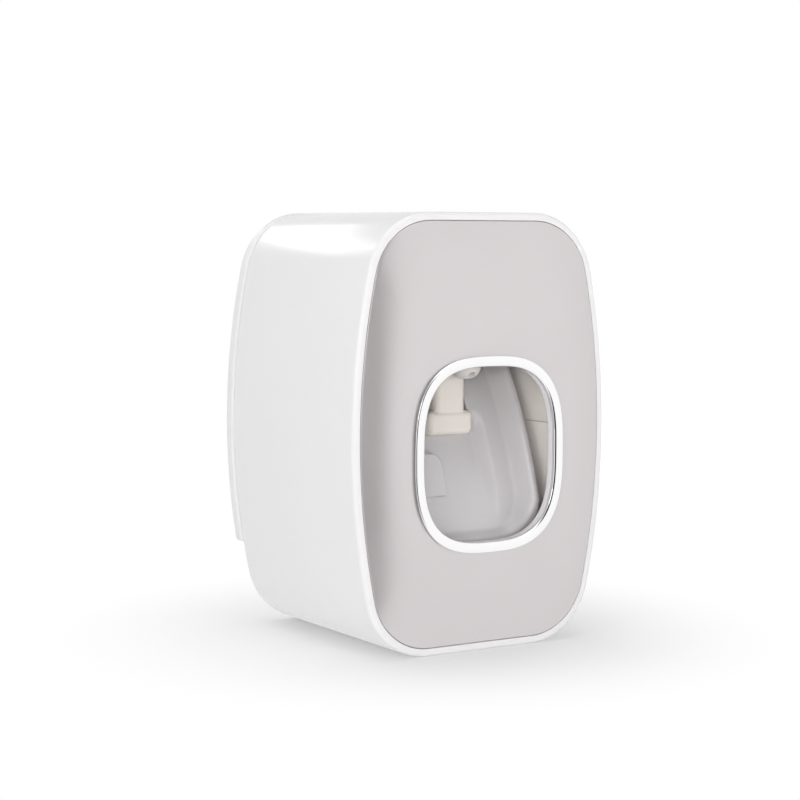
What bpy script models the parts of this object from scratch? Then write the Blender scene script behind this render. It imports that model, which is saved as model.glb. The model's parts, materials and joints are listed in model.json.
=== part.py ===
# Press-to-dispense toothpaste tube squeezer, in metres, +Z up, front towards -Y.
# The casing stands on z = 0 and the origin is at the middle of its footprint.
import math

import bmesh
import bpy
from mathutils import Matrix, Vector

# Casing
CASING_WIDTH = 0.075
CASING_HEIGHT = 0.109
CASING_DEPTH = 0.062
CORNER_RADIUS = 0.018
SIDE_BOW_RADIUS = 0.190
RIM_THICKNESS = 0.0020
LEDGE_STEP = 0.0008
RIM_ROUNDING = 0.0008

# Clearances
SEAT_GAP = 0.0003
RUNNING_GAP = 0.0005
PIN_GAP = 0.0001

# Front panel and window
PANEL_THICKNESS = 0.0024
PANEL_CROWN = 0.0027
PANEL_CROWN_POWER = 2.4
WINDOW_HALF_WIDTH = 0.0194
WINDOW_HALF_HEIGHT = 0.0217
WINDOW_BELOW_TOP = 0.0595
WINDOW_ROUNDNESS = 3.0
TRIM_BAND = 0.0026
TRIM_THICKNESS = 0.0007
TRIM_COLLAR_WALL = 0.0012
TRIM_DEPTH = 0.0037
PANEL_FLAT_MARGIN = 0.0006

# Push lever
LEVER_HALF_WIDTH = 0.0200
LEVER_WALL = 0.0020
LEVER_FLOOR = 0.0020
LEVER_TRAY_DEPTH = 0.0051
LEVER_SLOT_HALF_WIDTH = 0.0076
LEVER_SLOT_DROP = 0.0272
ARM_GAP_HALF_WIDTH = 0.0062
ARM_GAP_DROP = 0.0206
CHANNEL_DEPTH = 0.0035
CHANNEL_WALL = 0.0016
CHANNEL_DROP = 0.0475
CHANNEL_ROUNDING = 0.0060
REST_INNER_EDGE = 0.0049
REST_OUTER_EDGE = 0.0125
REST_TOP_DROP = 0.0303
REST_BOTTOM_DROP = 0.0416
REST_ROUNDING = 0.0028
REST_PROUD = 0.0007
LEVER_BOTTOM_RADIUS = 0.0090
LEVER_TIP = 0.0113
TRAY_FILLET = 0.0030
LEVER_LIP = 0.0012
LEVER_BOW_RADIUS = 0.133
LEVER_TIP_LEAN = math.radians(15)
LEVER_TRAVEL = math.radians(20)
HINGE_DEPTH = 0.0250
HINGE_RISE = 0.0300
RIM_CORNER_FORWARD = 0.0226
RIM_CORNER_DROP = 0.0434
LEVER_SIDE_CLEARANCE = 0.0040
BARREL_RADIUS = 0.0036
HINGE_PIN_RADIUS = 0.0020
HINGE_PIN_LENGTH = 0.0130
PIN_HEAD_RADIUS = 0.0032
PIN_HEAD_HEIGHT = 0.0012

# Crank
CRANK_LENGTH = 0.0120
CRANK_THICKNESS = 0.0030
CRANK_PIN_RADIUS = 0.0015

# Chassis
CHASSIS_WALL = 0.0020
CHASSIS_ROUNDING = 0.0090
SEAM_ABOVE_WINDOW = 0.0060
CHASSIS_FLOOR_CLEARANCE = 0.0065
BACK_WALL_CLEARANCE = 0.0006
SCREW_BOSS_SIZE = 0.0076
SCREW_BOSS_LENGTH = 0.0100
SCREW_BOSS_RISE = 0.0300

# Pump
BORE_RADIUS = 0.0070
CYLINDER_WALL = 0.0020
CYLINDER_FRONT_WALL = 0.0018
CYLINDER_FRONT_DEPTH = 0.0145
SADDLE_HALF_WIDTH = 0.0085
SADDLE_REAR_MARGIN = 0.0027
ROOF_CLEARANCE = 0.0014
TUBE_AXIS_DEPTH = 0.0280
INLET_RADIUS = 0.0030
INLET_BOSS_WALL = 0.0016
TUBE_NECK_RADIUS = 0.0060
PORT_RADIUS = 0.0022
PISTON_LENGTH = 0.0065
PISTON_GROOVE = 0.0012
SEAL_WIDTH = 0.0020
PISTON_ROD_RADIUS = 0.0026
PISTON_REST_MARGIN = 0.0010
CAP_THICKNESS = 0.0025
YOKE_BAR_THICKNESS = 0.0028
YOKE_HALF_HEIGHT = 0.0042
YOKE_CROSSHEAD = 0.0025
YOKE_SIDE_GAP = 0.0016
SLOT_HALF_HEIGHT = 0.0024
SPRING_WIRE_RADIUS = 0.0004
SPRING_COIL_RADIUS = 0.0042
SPRING_PITCH = 0.0014
FEWEST_TURNS = 2
CROSSHEAD_CLEARANCE = 0.0010
VALVE_THICKNESS = 0.0008
VALVE_RADIUS = 0.0036

# Outlet
SPOUT_TUBE_RADIUS = 0.0046
SPOUT_STANDOFF = 0.0057
NOZZLE_RADIUS = 0.0042
NOZZLE_LENGTH = 0.0090
NOZZLE_DROP = 0.0120
NOZZLE_END_RADIUS = 0.0034
OUTLET_HOLE_RADIUS = 0.0009
OUTLET_HOLE_TILT = math.radians(45)

# Shroud between the lever's arms
SHROUD_HALF_WIDTH = 0.0046
SHROUD_THICKNESS = 0.0100
SHROUD_LOBE_HALF_WIDTH = 0.0068
SHROUD_LOBE_HEIGHT = 0.0062
SHROUD_LOBE_PROUD = 0.0004
SHROUD_LOBE_DEPTH = 0.0060
SHROUD_DROP = 0.0268
SHROUD_SEAT = 0.0060
SHROUD_ROUNDING = 0.0016

# Tube socket in the top
COLLAR_RADIUS = 0.0160
COLLAR_WALL = 0.0022
COLLAR_SET_BACK = 0.0003
GASKET_LIP_WALL = 0.0014
GASKET_THICKNESS = 0.0010

# Rear cover, screws and wall bracket
COVER_THICKNESS = 0.0024
SCREW_RADIUS = 0.0012
SCREW_LENGTH = 0.0080
PUMP_SCREW_LENGTH = 0.0046
SCREW_HEAD_RADIUS = 0.0026
SCREW_HEAD_HEIGHT = 0.0014
SCREW_RECESS_WIDTH = 0.0007
SCREW_RECESS_DEPTH = 0.0007
BRACKET_THICKNESS = 0.0037
BRACKET_BOTTOM = 0.0218
BRACKET_ROUNDING = 0.0008
BRACKET_TRAVEL = 0.0060
HOOK_HALF_WIDTH = 0.0040
HOOK_OFFSET = 0.0120
HOOK_RISE = 0.0090
HOOK_NECK = 0.0030
HOOK_LIP = 0.0050
HOOK_LIP_THICKNESS = 0.0022
PAD_HALF_WIDTH = 0.0220
PAD_HALF_HEIGHT = 0.0220
PAD_THICKNESS = 0.0010
PAD_RECESS = 0.0008
PAD_RAISE = 0.0100

# Number of straight steps in round stretches
CORNER_STEPS = 6
SIDE_STEPS = 10
FLAT_STEPS = 6
WINDOW_STEPS = 56
ROUND_STEPS = 24
SMALL_ROUND_STEPS = 16
OVERSHOOT = 0.0020

# Places that follow from the sizes
TRIM_PROUD = TRIM_THICKNESS + SEAT_GAP
PAD_PROUD = PAD_THICKNESS + SEAT_GAP - PAD_RECESS
TOTAL_DEPTH = TRIM_PROUD + PANEL_CROWN + CASING_DEPTH + SEAT_GAP + BRACKET_THICKNESS + PAD_PROUD
FRONT_Y = -TOTAL_DEPTH / 2 + TRIM_PROUD + PANEL_CROWN
REAR_Y = FRONT_Y + CASING_DEPTH
MIDDLE_Z = CASING_HEIGHT / 2
WINDOW_Z = CASING_HEIGHT - WINDOW_BELOW_TOP
PANEL_BACK_Y = FRONT_Y + PANEL_THICKNESS
COVER_Y = REAR_Y - COVER_THICKNESS
HINGE = Vector((0.0, FRONT_Y + HINGE_DEPTH, WINDOW_Z + HINGE_RISE))
HALF_TRAVEL = LEVER_TRAVEL / 2
CRANK_PIN = HINGE + Vector((0.0, CRANK_LENGTH * math.sin(HALF_TRAVEL), CRANK_LENGTH * math.cos(HALF_TRAVEL)))
STROKE = 2 * CRANK_LENGTH * math.sin(HALF_TRAVEL)
PUMP_Z = CRANK_PIN.z
CHASSIS_HALF_WIDTH = LEVER_HALF_WIDTH + LEVER_SIDE_CLEARANCE + CHASSIS_WALL
CHASSIS_INNER = CHASSIS_HALF_WIDTH - CHASSIS_WALL
CHASSIS_FRONT_Y = PANEL_BACK_Y + SEAT_GAP
CHASSIS_REAR_Y = COVER_Y - SEAT_GAP
SEAM_Z = WINDOW_Z + SEAM_ABOVE_WINDOW
RIM_CORNER = Vector((HINGE.y - RIM_CORNER_FORWARD, HINGE.z - RIM_CORNER_DROP))
LEVER_BOTTOM_Z = RIM_CORNER.y - LEVER_TIP
BOW_CENTRE = RIM_CORNER + LEVER_BOW_RADIUS * Vector((math.cos(LEVER_TIP_LEAN), -math.sin(LEVER_TIP_LEAN)))
CYLINDER_RADIUS = BORE_RADIUS + CYLINDER_WALL
CYLINDER_FRONT_Y = FRONT_Y + CYLINDER_FRONT_DEPTH
TUBE_Y = FRONT_Y + TUBE_AXIS_DEPTH
PISTON_FRONT_Y = TUBE_Y + INLET_RADIUS + STROKE + PISTON_REST_MARGIN
PISTON_REAR_Y = PISTON_FRONT_Y + PISTON_LENGTH
CYLINDER_REAR_Y = PISTON_REAR_Y + PISTON_REST_MARGIN
CAP_Y = CYLINDER_REAR_Y + SEAT_GAP
CAP_REAR_Y = CAP_Y + CAP_THICKNESS
CROSSHEAD_Y = COVER_Y - CROSSHEAD_CLEARANCE - YOKE_CROSSHEAD
SPRING_LENGTH = CROSSHEAD_Y - CAP_REAR_Y - 2 * SEAT_GAP
ROOF_Z = PUMP_Z + CYLINDER_RADIUS + ROOF_CLEARANCE
ROOF_TOP_Z = ROOF_Z + CHASSIS_WALL
SADDLE_TOP_Z = ROOF_Z - SEAT_GAP
BOSS_RADIUS = TUBE_NECK_RADIUS + INLET_BOSS_WALL
BOSS_TOP_Z = ROOF_TOP_Z + SCREW_HEAD_HEIGHT + SEAT_GAP
YOKE_INNER = CYLINDER_RADIUS + YOKE_SIDE_GAP
YOKE_OUTER = YOKE_INNER + YOKE_BAR_THICKNESS
CRANK_INNER = YOKE_OUTER + RUNNING_GAP
CRANK_OUTER = CRANK_INNER + CRANK_THICKNESS
SPOUT_REAR_Y = CYLINDER_FRONT_Y - SEAT_GAP
SPOUT_AXIS_Y = SPOUT_REAR_Y - SPOUT_STANDOFF
NOZZLE_TOP_Z = HINGE.z - NOZZLE_DROP + NOZZLE_LENGTH
SPOUT_BOTTOM_Z = NOZZLE_TOP_Z + SEAT_GAP
SCREW_X = CHASSIS_HALF_WIDTH - SCREW_BOSS_SIZE / 2
HOOK_Z = MIDDLE_Z + HOOK_RISE


def clear_scene():
    for item in list(bpy.data.objects):
        bpy.data.objects.remove(item, do_unlink=True)


def new_collection(name):
    collection = bpy.data.collections.new(name)
    bpy.context.scene.collection.children.link(collection)
    return collection


clear_scene()
PARTS = new_collection("toothpaste_tube_squeezer")
TOOLS = new_collection("cutters_and_guides")


def plastic(name, colour, roughness, metallic=0.0):
    material = bpy.data.materials.new(name)
    material.use_nodes = True
    shader = material.node_tree.nodes["Principled BSDF"]
    shader.inputs["Base Color"].default_value = (*colour, 1.0)
    shader.inputs["Roughness"].default_value = roughness
    shader.inputs["Metallic"].default_value = metallic
    material.diffuse_color = (*colour, 1.0)
    return material


WHITE = (0.80, 0.79, 0.80)
CREAM = (0.66, 0.60, 0.54)
LEVER_GREY = (0.56, 0.55, 0.57)
STEEL = (0.60, 0.60, 0.62)


def as_object(name, mesh, collection=TOOLS, location=(0, 0, 0), rotation=(0, 0, 0)):
    item = bpy.data.objects.new(name, mesh)
    collection.objects.link(item)
    item.location = location
    item.rotation_euler = rotation
    if collection is TOOLS:
        item.hide_render = True
        item.display_type = "WIRE"
    return item


def promote(item, name, material):
    """Turn a working shape into a finished piece of the object."""
    item.name = name
    item.data.name = name
    TOOLS.objects.unlink(item)
    PARTS.objects.link(item)
    item.hide_render = False
    item.display_type = "TEXTURED"
    item.data.materials.clear()
    item.data.materials.append(material)
    item.data.shade_smooth()
    item.data.set_sharp_from_angle(angle=math.radians(35))
    return item


# Outlines that face each way: the local X, Y and Z of the flat curve in world axes
FACING = {"front": (math.pi / 2, 0.0, 0.0), "side": (math.pi / 2, 0.0, math.pi / 2), "top": (0.0, 0.0, 0.0)}


def slab(name, outline, low, high, facing):
    """Extrude a closed outline between two planes square to the way it faces."""
    curve = bpy.data.curves.new(name, "CURVE")
    curve.dimensions = "2D"
    curve.fill_mode = "BOTH"
    curve.extrude = (high - low) / 2
    spline = curve.splines.new("POLY")
    spline.points.add(len(outline) - 1)
    for point, place in zip(spline.points, outline):
        point.co = (place[0], place[1], 0.0, 1.0)
    spline.use_cyclic_u = True
    middle = (low + high) / 2
    location = {"front": (0, middle, 0), "side": (middle, 0, 0), "top": (0, 0, middle)}[facing]
    guide = as_object(name + "_outline", curve, TOOLS, location, FACING[facing])
    bpy.context.view_layer.update()
    evaluated = guide.evaluated_get(bpy.context.evaluated_depsgraph_get())
    mesh = bpy.data.meshes.new_from_object(evaluated)
    tidy = bmesh.new()
    tidy.from_mesh(mesh)
    bmesh.ops.remove_doubles(tidy, verts=tidy.verts, dist=1e-7)
    bmesh.ops.recalc_face_normals(tidy, faces=tidy.faces)
    tidy.to_mesh(mesh)
    tidy.free()
    item = as_object(name, mesh, TOOLS, location, FACING[facing])
    bpy.data.objects.remove(guide, do_unlink=True)
    return item


def box(name, low, high):
    low, high = Vector(low), Vector(high)
    work = bmesh.new()
    size = high - low
    bmesh.ops.create_cube(work, size=1.0, matrix=Matrix.Diagonal((*size, 1.0)))
    mesh = bpy.data.meshes.new(name)
    work.to_mesh(mesh)
    work.free()
    return as_object(name, mesh, TOOLS, (low + high) / 2)


def rod(name, start, end, radius, steps=ROUND_STEPS):
    start, end = Vector(start), Vector(end)
    work = bmesh.new()
    length = (end - start).length
    bmesh.ops.create_cone(work, cap_ends=True, segments=steps, radius1=radius, radius2=radius, depth=length)
    mesh = bpy.data.meshes.new(name)
    work.to_mesh(mesh)
    work.free()
    turn = (end - start).to_track_quat("Z", "Y").to_euler()
    return as_object(name, mesh, TOOLS, (start + end) / 2, turn)


def turned(name, profile, location=(0, 0, 0), rotation=(0, 0, 0), steps=ROUND_STEPS):
    """Turn a closed profile of (radius, height) points about the local Z axis."""
    mesh = bpy.data.meshes.new(name)
    points = [(radius, 0.0, height) for radius, height in profile]
    edges = [(k, (k + 1) % len(points)) for k in range(len(points))]
    edges = [edge for edge in edges if points[edge[0]][0] > 0 or points[edge[1]][0] > 0]
    mesh.from_pydata(points, edges, [])
    item = as_object(name, mesh, TOOLS, location, rotation)
    spin = item.modifiers.new("turn", "SCREW")
    spin.steps = steps
    spin.render_steps = steps
    spin.use_merge_vertices = True
    spin.merge_threshold = 0.000001
    return item


def combine(target, other, operation):
    step = target.modifiers.new(other.name, "BOOLEAN")
    step.operation = operation
    step.solver = "EXACT"
    step.object = other
    if target.parent and not other.parent:
        hang(other, target.parent)
    return target


def cut(target, *others):
    for other in others:
        combine(target, other, "DIFFERENCE")
    return target


def add(target, *others):
    for other in others:
        combine(target, other, "UNION")
    return target


def keep(target, other):
    return combine(target, other, "INTERSECT")


def soften(item, width, segments=2, angle=50):
    bevel = item.modifiers.new("rounding", "BEVEL")
    bevel.width = width
    bevel.segments = segments
    bevel.limit_method = "ANGLE"
    bevel.angle_limit = math.radians(angle)
    return item


def joint_empty(name, place):
    empty = bpy.data.objects.new(name, None)
    PARTS.objects.link(empty)
    empty.location = place
    empty.empty_display_size = 0.005
    bpy.context.view_layer.update()
    return empty


def hang(item, empty):
    item.parent = empty
    item.matrix_parent_inverse = empty.matrix_world.inverted()
    for modifier in item.modifiers:
        if modifier.type == "BOOLEAN" and not modifier.object.parent:
            hang(modifier.object, empty)
    return item


def arc(centre, radius, start, end, steps):
    angles = [start + (end - start) * k / steps for k in range(steps + 1)]
    return [(centre[0] + radius * math.cos(a), centre[1] + radius * math.sin(a)) for a in angles]


def rounded_box_outline(half_width, low, high, low_radius, high_radius, steps=CORNER_STEPS):
    """A box outline whose lower and upper corners have their own radii."""
    points = []
    points += arc((half_width - low_radius, low + low_radius), low_radius, -math.pi / 2, 0, steps)
    points += arc((half_width - high_radius, high - high_radius), high_radius, 0, math.pi / 2, steps)
    points += arc((high_radius - half_width, high - high_radius), high_radius, math.pi / 2, math.pi, steps)
    points += arc((low_radius - half_width, low + low_radius), low_radius, math.pi, 1.5 * math.pi, steps)
    return points


def casing_outline(inset, flat_steps=1):
    """The casing's outline, drawn in by inset: bowed sides, round corners, flat top and bottom."""
    half_width = CASING_WIDTH / 2 - inset
    half_height = CASING_HEIGHT / 2 - inset
    corner = CORNER_RADIUS - inset
    bow = SIDE_BOW_RADIUS - inset
    rise = half_height - corner
    reach = math.sqrt((bow - corner) ** 2 - rise ** 2)
    corner_x = half_width - bow + reach
    meet = math.atan2(rise, reach)
    points = []
    for side, turn in ((1, 0.0), (-1, math.pi)):
        bow_centre = (side * (half_width - bow), 0.0)
        points += arc(bow_centre, bow, turn - meet, turn + meet, SIDE_STEPS)[:-1]
        corner_centre = (side * corner_x, side * rise)
        points += arc(corner_centre, corner, turn + meet, turn + math.pi / 2, CORNER_STEPS)[:-1]
        for k in range(flat_steps):
            points.append((side * corner_x * (1 - 2 * k / flat_steps), side * half_height))
        corner_centre = (-side * corner_x, side * rise)
        points += arc(corner_centre, corner, turn + math.pi / 2, turn + math.pi - meet, CORNER_STEPS)[:-1]
    return [(x, z + MIDDLE_Z) for x, z in points]


def window_point(angle, grow):
    """A point on the window's rounded outline, grown outwards by grow."""
    across = abs(math.cos(angle) / (WINDOW_HALF_WIDTH + grow)) ** WINDOW_ROUNDNESS
    upright = abs(math.sin(angle) / (WINDOW_HALF_HEIGHT + grow)) ** WINDOW_ROUNDNESS
    reach = (across + upright) ** (-1 / WINDOW_ROUNDNESS)
    return (reach * math.cos(angle), WINDOW_Z + reach * math.sin(angle))


def window_outline(grow):
    return [window_point(2 * math.pi * k / WINDOW_STEPS, grow) for k in range(WINDOW_STEPS)]


def make_casing():
    sleeve = slab("casing_blank", casing_outline(0.0), FRONT_Y, REAR_Y, "front")
    soften(sleeve, RIM_ROUNDING, 2)
    inner = slab("casing_inside", casing_outline(RIM_THICKNESS + LEDGE_STEP), FRONT_Y - OVERSHOOT,
                 REAR_Y + OVERSHOOT, "front")
    front_pocket = slab("panel_pocket", casing_outline(RIM_THICKNESS), FRONT_Y - OVERSHOOT,
                        CHASSIS_FRONT_Y, "front")
    rear_pocket = slab("cover_pocket", casing_outline(RIM_THICKNESS), CHASSIS_REAR_Y,
                       REAR_Y + OVERSHOOT, "front")
    socket = rod("collar_hole", (0, TUBE_Y, ROOF_TOP_Z), (0, TUBE_Y, CASING_HEIGHT + OVERSHOOT),
                 COLLAR_RADIUS + SEAT_GAP)
    cut(sleeve, inner, front_pocket, rear_pocket, socket)
    return promote(sleeve, "casing_sleeve", plastic("gloss_white", WHITE, 0.20))


def make_front_panel():
    """A domed shell lofted from the casing's outline to the window's."""
    outer = casing_outline(RIM_THICKNESS + SEAT_GAP, FLAT_STEPS)
    hole_grow = TRIM_COLLAR_WALL + SEAT_GAP
    flat_grow = TRIM_BAND + PANEL_FLAT_MARGIN
    angles = [math.atan2(z - WINDOW_Z, x) for x, z in outer]
    flat = [window_point(a, flat_grow) for a in angles]
    hole = [window_point(a, hole_grow) for a in angles]
    steps = (0.0, 0.07, 0.18, 0.36, 0.62, 1.0)
    rings = []
    for t in steps:
        y = FRONT_Y - PANEL_CROWN * (1 - (1 - t) ** PANEL_CROWN_POWER)
        rings.append([(ox + (fx - ox) * t, y, oz + (fz - oz) * t) for (ox, oz), (fx, fz) in zip(outer, flat)])
    crown_y = FRONT_Y - PANEL_CROWN
    rings.append([(x, crown_y, z) for x, z in hole])
    rings += [[(x, y + PANEL_THICKNESS, z) for x, y, z in ring] for ring in reversed(rings)]
    work = bmesh.new()
    loops = [[work.verts.new(point) for point in ring] for ring in rings]
    count = len(outer)
    for k, loop in enumerate(loops):
        following = loops[(k + 1) % len(loops)]
        for i in range(count):
            j = (i + 1) % count
            work.faces.new((loop[i], loop[j], following[j], following[i]))
    bmesh.ops.recalc_face_normals(work, faces=work.faces)
    mesh = bpy.data.meshes.new("front_panel")
    work.to_mesh(mesh)
    work.free()
    panel = as_object("panel_blank", mesh)
    return promote(panel, "front_panel", plastic("satin_grey", (0.62, 0.60, 0.61), 0.45))


def make_window_trim():
    face_y = FRONT_Y - PANEL_CROWN - SEAT_GAP
    band = slab("trim_band", window_outline(TRIM_BAND), face_y - TRIM_THICKNESS, face_y, "front")
    soften(band, TRIM_THICKNESS / 3, 1)
    rear_y = face_y - TRIM_THICKNESS + TRIM_DEPTH
    collar = slab("trim_collar", window_outline(TRIM_COLLAR_WALL), face_y - TRIM_THICKNESS / 2, rear_y, "front")
    opening = slab("trim_opening", window_outline(0.0), face_y - OVERSHOOT, rear_y + OVERSHOOT, "front")
    add(band, collar)
    cut(band, opening)
    return promote(band, "window_trim", plastic("polished_trim", (0.90, 0.90, 0.92), 0.06, 1.0))


def bow_angle(radius, height):
    """The angle at which a bow of this radius, about the lever's bow centre, reaches a height."""
    return math.asin((height - BOW_CENTRE.y) / radius)


def bow_stretch(radius, low_angle, high_angle, steps=10):
    angles = [low_angle + (high_angle - low_angle) * k / steps for k in range(steps + 1)]
    return [(BOW_CENTRE.x - radius * math.cos(a), BOW_CENTRE.y + radius * math.sin(a)) for a in angles]


def lever_profiles():
    """The lever's side profile, and the profile of the hollow in front of its floor."""
    rim = LEVER_BOW_RADIUS
    floor = rim - LEVER_TRAY_DEPTH
    back = floor - LEVER_FLOOR
    top_z = HINGE.z + BARREL_RADIUS / 2
    rim_top = bow_angle(rim, top_z)
    low_z = LEVER_BOTTOM_Z - OVERSHOOT
    rim_arc = bow_stretch(rim, LEVER_TIP_LEAN, rim_top)
    back_arc = bow_stretch(back, bow_angle(back, low_z), bow_angle(back, top_z))
    floor_low = bow_angle(floor, low_z)
    lip = (BOW_CENTRE.x - floor * math.cos(floor_low) - LEVER_LIP, low_z)
    body = [lip] + rim_arc + list(reversed(back_arc))
    high_z = top_z + OVERSHOOT
    floor_arc = bow_stretch(floor, floor_low, bow_angle(floor, high_z))
    front_y = FRONT_Y - PANEL_CROWN
    hollow = floor_arc + [(front_y, high_z), (front_y, low_z)]
    return body, hollow


def channel_stretch(extra, steps=6):
    """The channel's floor, from its shallow lower end up to the slot, set back by extra."""
    floor = LEVER_BOW_RADIUS - LEVER_TRAY_DEPTH
    low = bow_angle(floor, HINGE.z - CHANNEL_DROP)
    high = bow_angle(floor - CHANNEL_DEPTH, HINGE.z - LEVER_SLOT_DROP)
    points = []
    for k in range(steps + 1):
        share = k / steps
        radius = floor - CHANNEL_DEPTH * share - extra
        angle = low + (high - low) * share
        points.append((BOW_CENTRE.x - radius * math.cos(angle), BOW_CENTRE.y + radius * math.sin(angle)))
    return points


def make_channel():
    """The trough behind the lever's floor, and the hollow that opens it to the front."""
    width = LEVER_SLOT_HALF_WIDTH
    mid_floor = LEVER_BOW_RADIUS - LEVER_TRAY_DEPTH - LEVER_FLOOR / 2
    low = bow_angle(mid_floor, HINGE.z - CHANNEL_DROP - CHANNEL_WALL)
    high = bow_angle(mid_floor, HINGE.z - LEVER_SLOT_DROP)
    back = channel_stretch(CHANNEL_WALL)
    trough = slab("channel_trough", bow_stretch(mid_floor, low, high, 6) + list(reversed(back)),
                  -width - CHANNEL_WALL, width + CHANNEL_WALL, "side")
    floor = channel_stretch(0.0)
    above = (floor[-1][0], HINGE.z - LEVER_SLOT_DROP + OVERSHOOT)
    front_y = FRONT_Y
    side = [(front_y, floor[0][1])] + floor + [above, (front_y, above[1])]
    hollow = slab("channel_hollow", side, -width - OVERSHOOT, width + OVERSHOOT, "side")
    outline = rounded_box_outline(width, HINGE.z - CHANNEL_DROP, HINGE.z, CHANNEL_ROUNDING, OVERSHOOT)
    keep(hollow, slab("channel_outline", outline, FRONT_Y - PANEL_CROWN, REAR_Y, "front"))
    return trough, hollow


def make_brush_rest():
    """The raised pad on the left of the channel, rounded at its upper inner corner."""
    high, low = HINGE.z - REST_TOP_DROP, HINGE.z - REST_BOTTOM_DROP
    inner, outer, turn = -REST_INNER_EDGE, -REST_OUTER_EDGE, REST_ROUNDING
    outline = [(outer, low), (inner, low)]
    outline += arc((inner - turn, high - turn), turn, 0, math.pi / 2, CORNER_STEPS)
    outline += [(outer, high)]
    pad = slab("rest_outline", outline, FRONT_Y, REAR_Y, "front")
    face = LEVER_BOW_RADIUS - LEVER_TRAY_DEPTH + REST_PROUD
    back = LEVER_BOW_RADIUS - LEVER_TRAY_DEPTH - LEVER_FLOOR
    margin = OVERSHOOT
    front_arc = bow_stretch(face, bow_angle(face, low - margin), bow_angle(face, high + margin), 5)
    back_arc = bow_stretch(back, bow_angle(back, low - margin), bow_angle(back, high + margin), 5)
    keep(pad, slab("rest_profile", front_arc + list(reversed(back_arc)), 2 * outer, -outer, "side"))
    return pad


def make_push_lever():
    body_profile, hollow_profile = lever_profiles()
    reach = LEVER_HALF_WIDTH + OVERSHOOT
    lever = slab("lever_blank", body_profile, -reach, reach, "side")
    outline = rounded_box_outline(LEVER_HALF_WIDTH, LEVER_BOTTOM_Z, HINGE.z + 2 * BARREL_RADIUS,
                                  LEVER_BOTTOM_RADIUS, OVERSHOOT)
    front_y, back_y = FRONT_Y - 2 * PANEL_CROWN, REAR_Y
    keep(lever, slab("lever_outline", outline, front_y, back_y, "front"))
    hollow = slab("tray_hollow", hollow_profile, -reach, reach, "side")
    inner = rounded_box_outline(LEVER_HALF_WIDTH - LEVER_WALL, LEVER_BOTTOM_Z + LEVER_WALL,
                                HINGE.z + 3 * BARREL_RADIUS, LEVER_BOTTOM_RADIUS - LEVER_WALL, OVERSHOOT)
    keep(hollow, slab("tray_outline", inner, front_y, back_y, "front"))
    soften(hollow, TRAY_FILLET, 2)
    trough, channel = make_channel()
    wide, slim = LEVER_SLOT_HALF_WIDTH, ARM_GAP_HALF_WIDTH
    low, step, high = HINGE.z - LEVER_SLOT_DROP, HINGE.z - ARM_GAP_DROP, HINGE.z + 4 * BARREL_RADIUS
    gap = [(-wide, low), (wide, low), (wide, step), (slim, step + wide - slim), (slim, high), (-slim, high),
           (-slim, step + wide - slim), (-wide, step)]
    slot = slab("arm_slot", gap, front_y, back_y, "front")
    add(lever, trough)
    cut(lever, hollow, channel, slot)
    add(lever, make_brush_rest())
    barrel_end = LEVER_HALF_WIDTH - OVERSHOOT / 4
    pin_way = rod("hinge_pin_hole", (-reach, HINGE.y, HINGE.z), (reach, HINGE.y, HINGE.z),
                  HINGE_PIN_RADIUS + PIN_GAP, SMALL_ROUND_STEPS)
    crank_way = rod("crank_pin_hole", (-reach, CRANK_PIN.y, CRANK_PIN.z), (reach, CRANK_PIN.y, CRANK_PIN.z),
                    CRANK_PIN_RADIUS + PIN_GAP, SMALL_ROUND_STEPS)
    lean = math.atan2(CRANK_PIN.y - HINGE.y, CRANK_PIN.z - HINGE.z)
    plate = arc((HINGE.y, HINGE.z), BARREL_RADIUS, math.pi - lean, 2 * math.pi - lean, CORNER_STEPS)
    plate += arc((CRANK_PIN.y, CRANK_PIN.z), BARREL_RADIUS, -lean, math.pi - lean, CORNER_STEPS)
    for side in (-1, 1):
        inner_x = ARM_GAP_HALF_WIDTH + RUNNING_GAP
        barrel = rod("hinge_barrel", (side * inner_x, HINGE.y, HINGE.z),
                     (side * barrel_end, HINGE.y, HINGE.z), BARREL_RADIUS, ROUND_STEPS)
        ends = sorted((side * CRANK_INNER, side * CRANK_OUTER))
        add(lever, barrel, slab("crank_plate", plate, ends[0], ends[1], "side"))
    cut(lever, pin_way, crank_way)
    return promote(lever, "push_lever", plastic("lever_grey", LEVER_GREY, 0.35))


def make_upper_chassis():
    inner, outer = CHASSIS_INNER, CHASSIS_HALF_WIDTH
    outline = chassis_outline(outer, SEAM_Z + SEAT_GAP, ROOF_TOP_Z, CHASSIS_ROUNDING)
    shell = slab("upper_blank", outline, CHASSIS_FRONT_Y, CHASSIS_REAR_Y, "front")
    outline = chassis_outline(inner, SEAM_Z - OVERSHOOT, ROOF_Z, CHASSIS_ROUNDING - CHASSIS_WALL)
    cut(shell, slab("upper_inside", outline, CHASSIS_FRONT_Y - OVERSHOOT, CHASSIS_REAR_Y + OVERSHOOT, "front"))
    add_screw_bosses(shell, MIDDLE_Z + SCREW_BOSS_RISE)
    pin_way = rod("pin_seat", (-2 * outer, HINGE.y, HINGE.z), (2 * outer, HINGE.y, HINGE.z),
                  HINGE_PIN_RADIUS + PIN_GAP, SMALL_ROUND_STEPS)
    boss_way = rod("boss_hole", (0, TUBE_Y, ROOF_Z - OVERSHOOT), (0, TUBE_Y, ROOF_TOP_Z + OVERSHOOT),
                   BOSS_RADIUS + SEAT_GAP)
    cut(shell, pin_way, boss_way)
    for y in pump_screw_places():
        cut(shell, rod("roof_screw_hole", (0, y, ROOF_Z - OVERSHOOT), (0, y, ROOF_TOP_Z + OVERSHOOT),
                       SCREW_RADIUS + SEAT_GAP, SMALL_ROUND_STEPS))
    return promote(shell, "upper_chassis", plastic("cream_liner", CREAM, 0.40))


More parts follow.
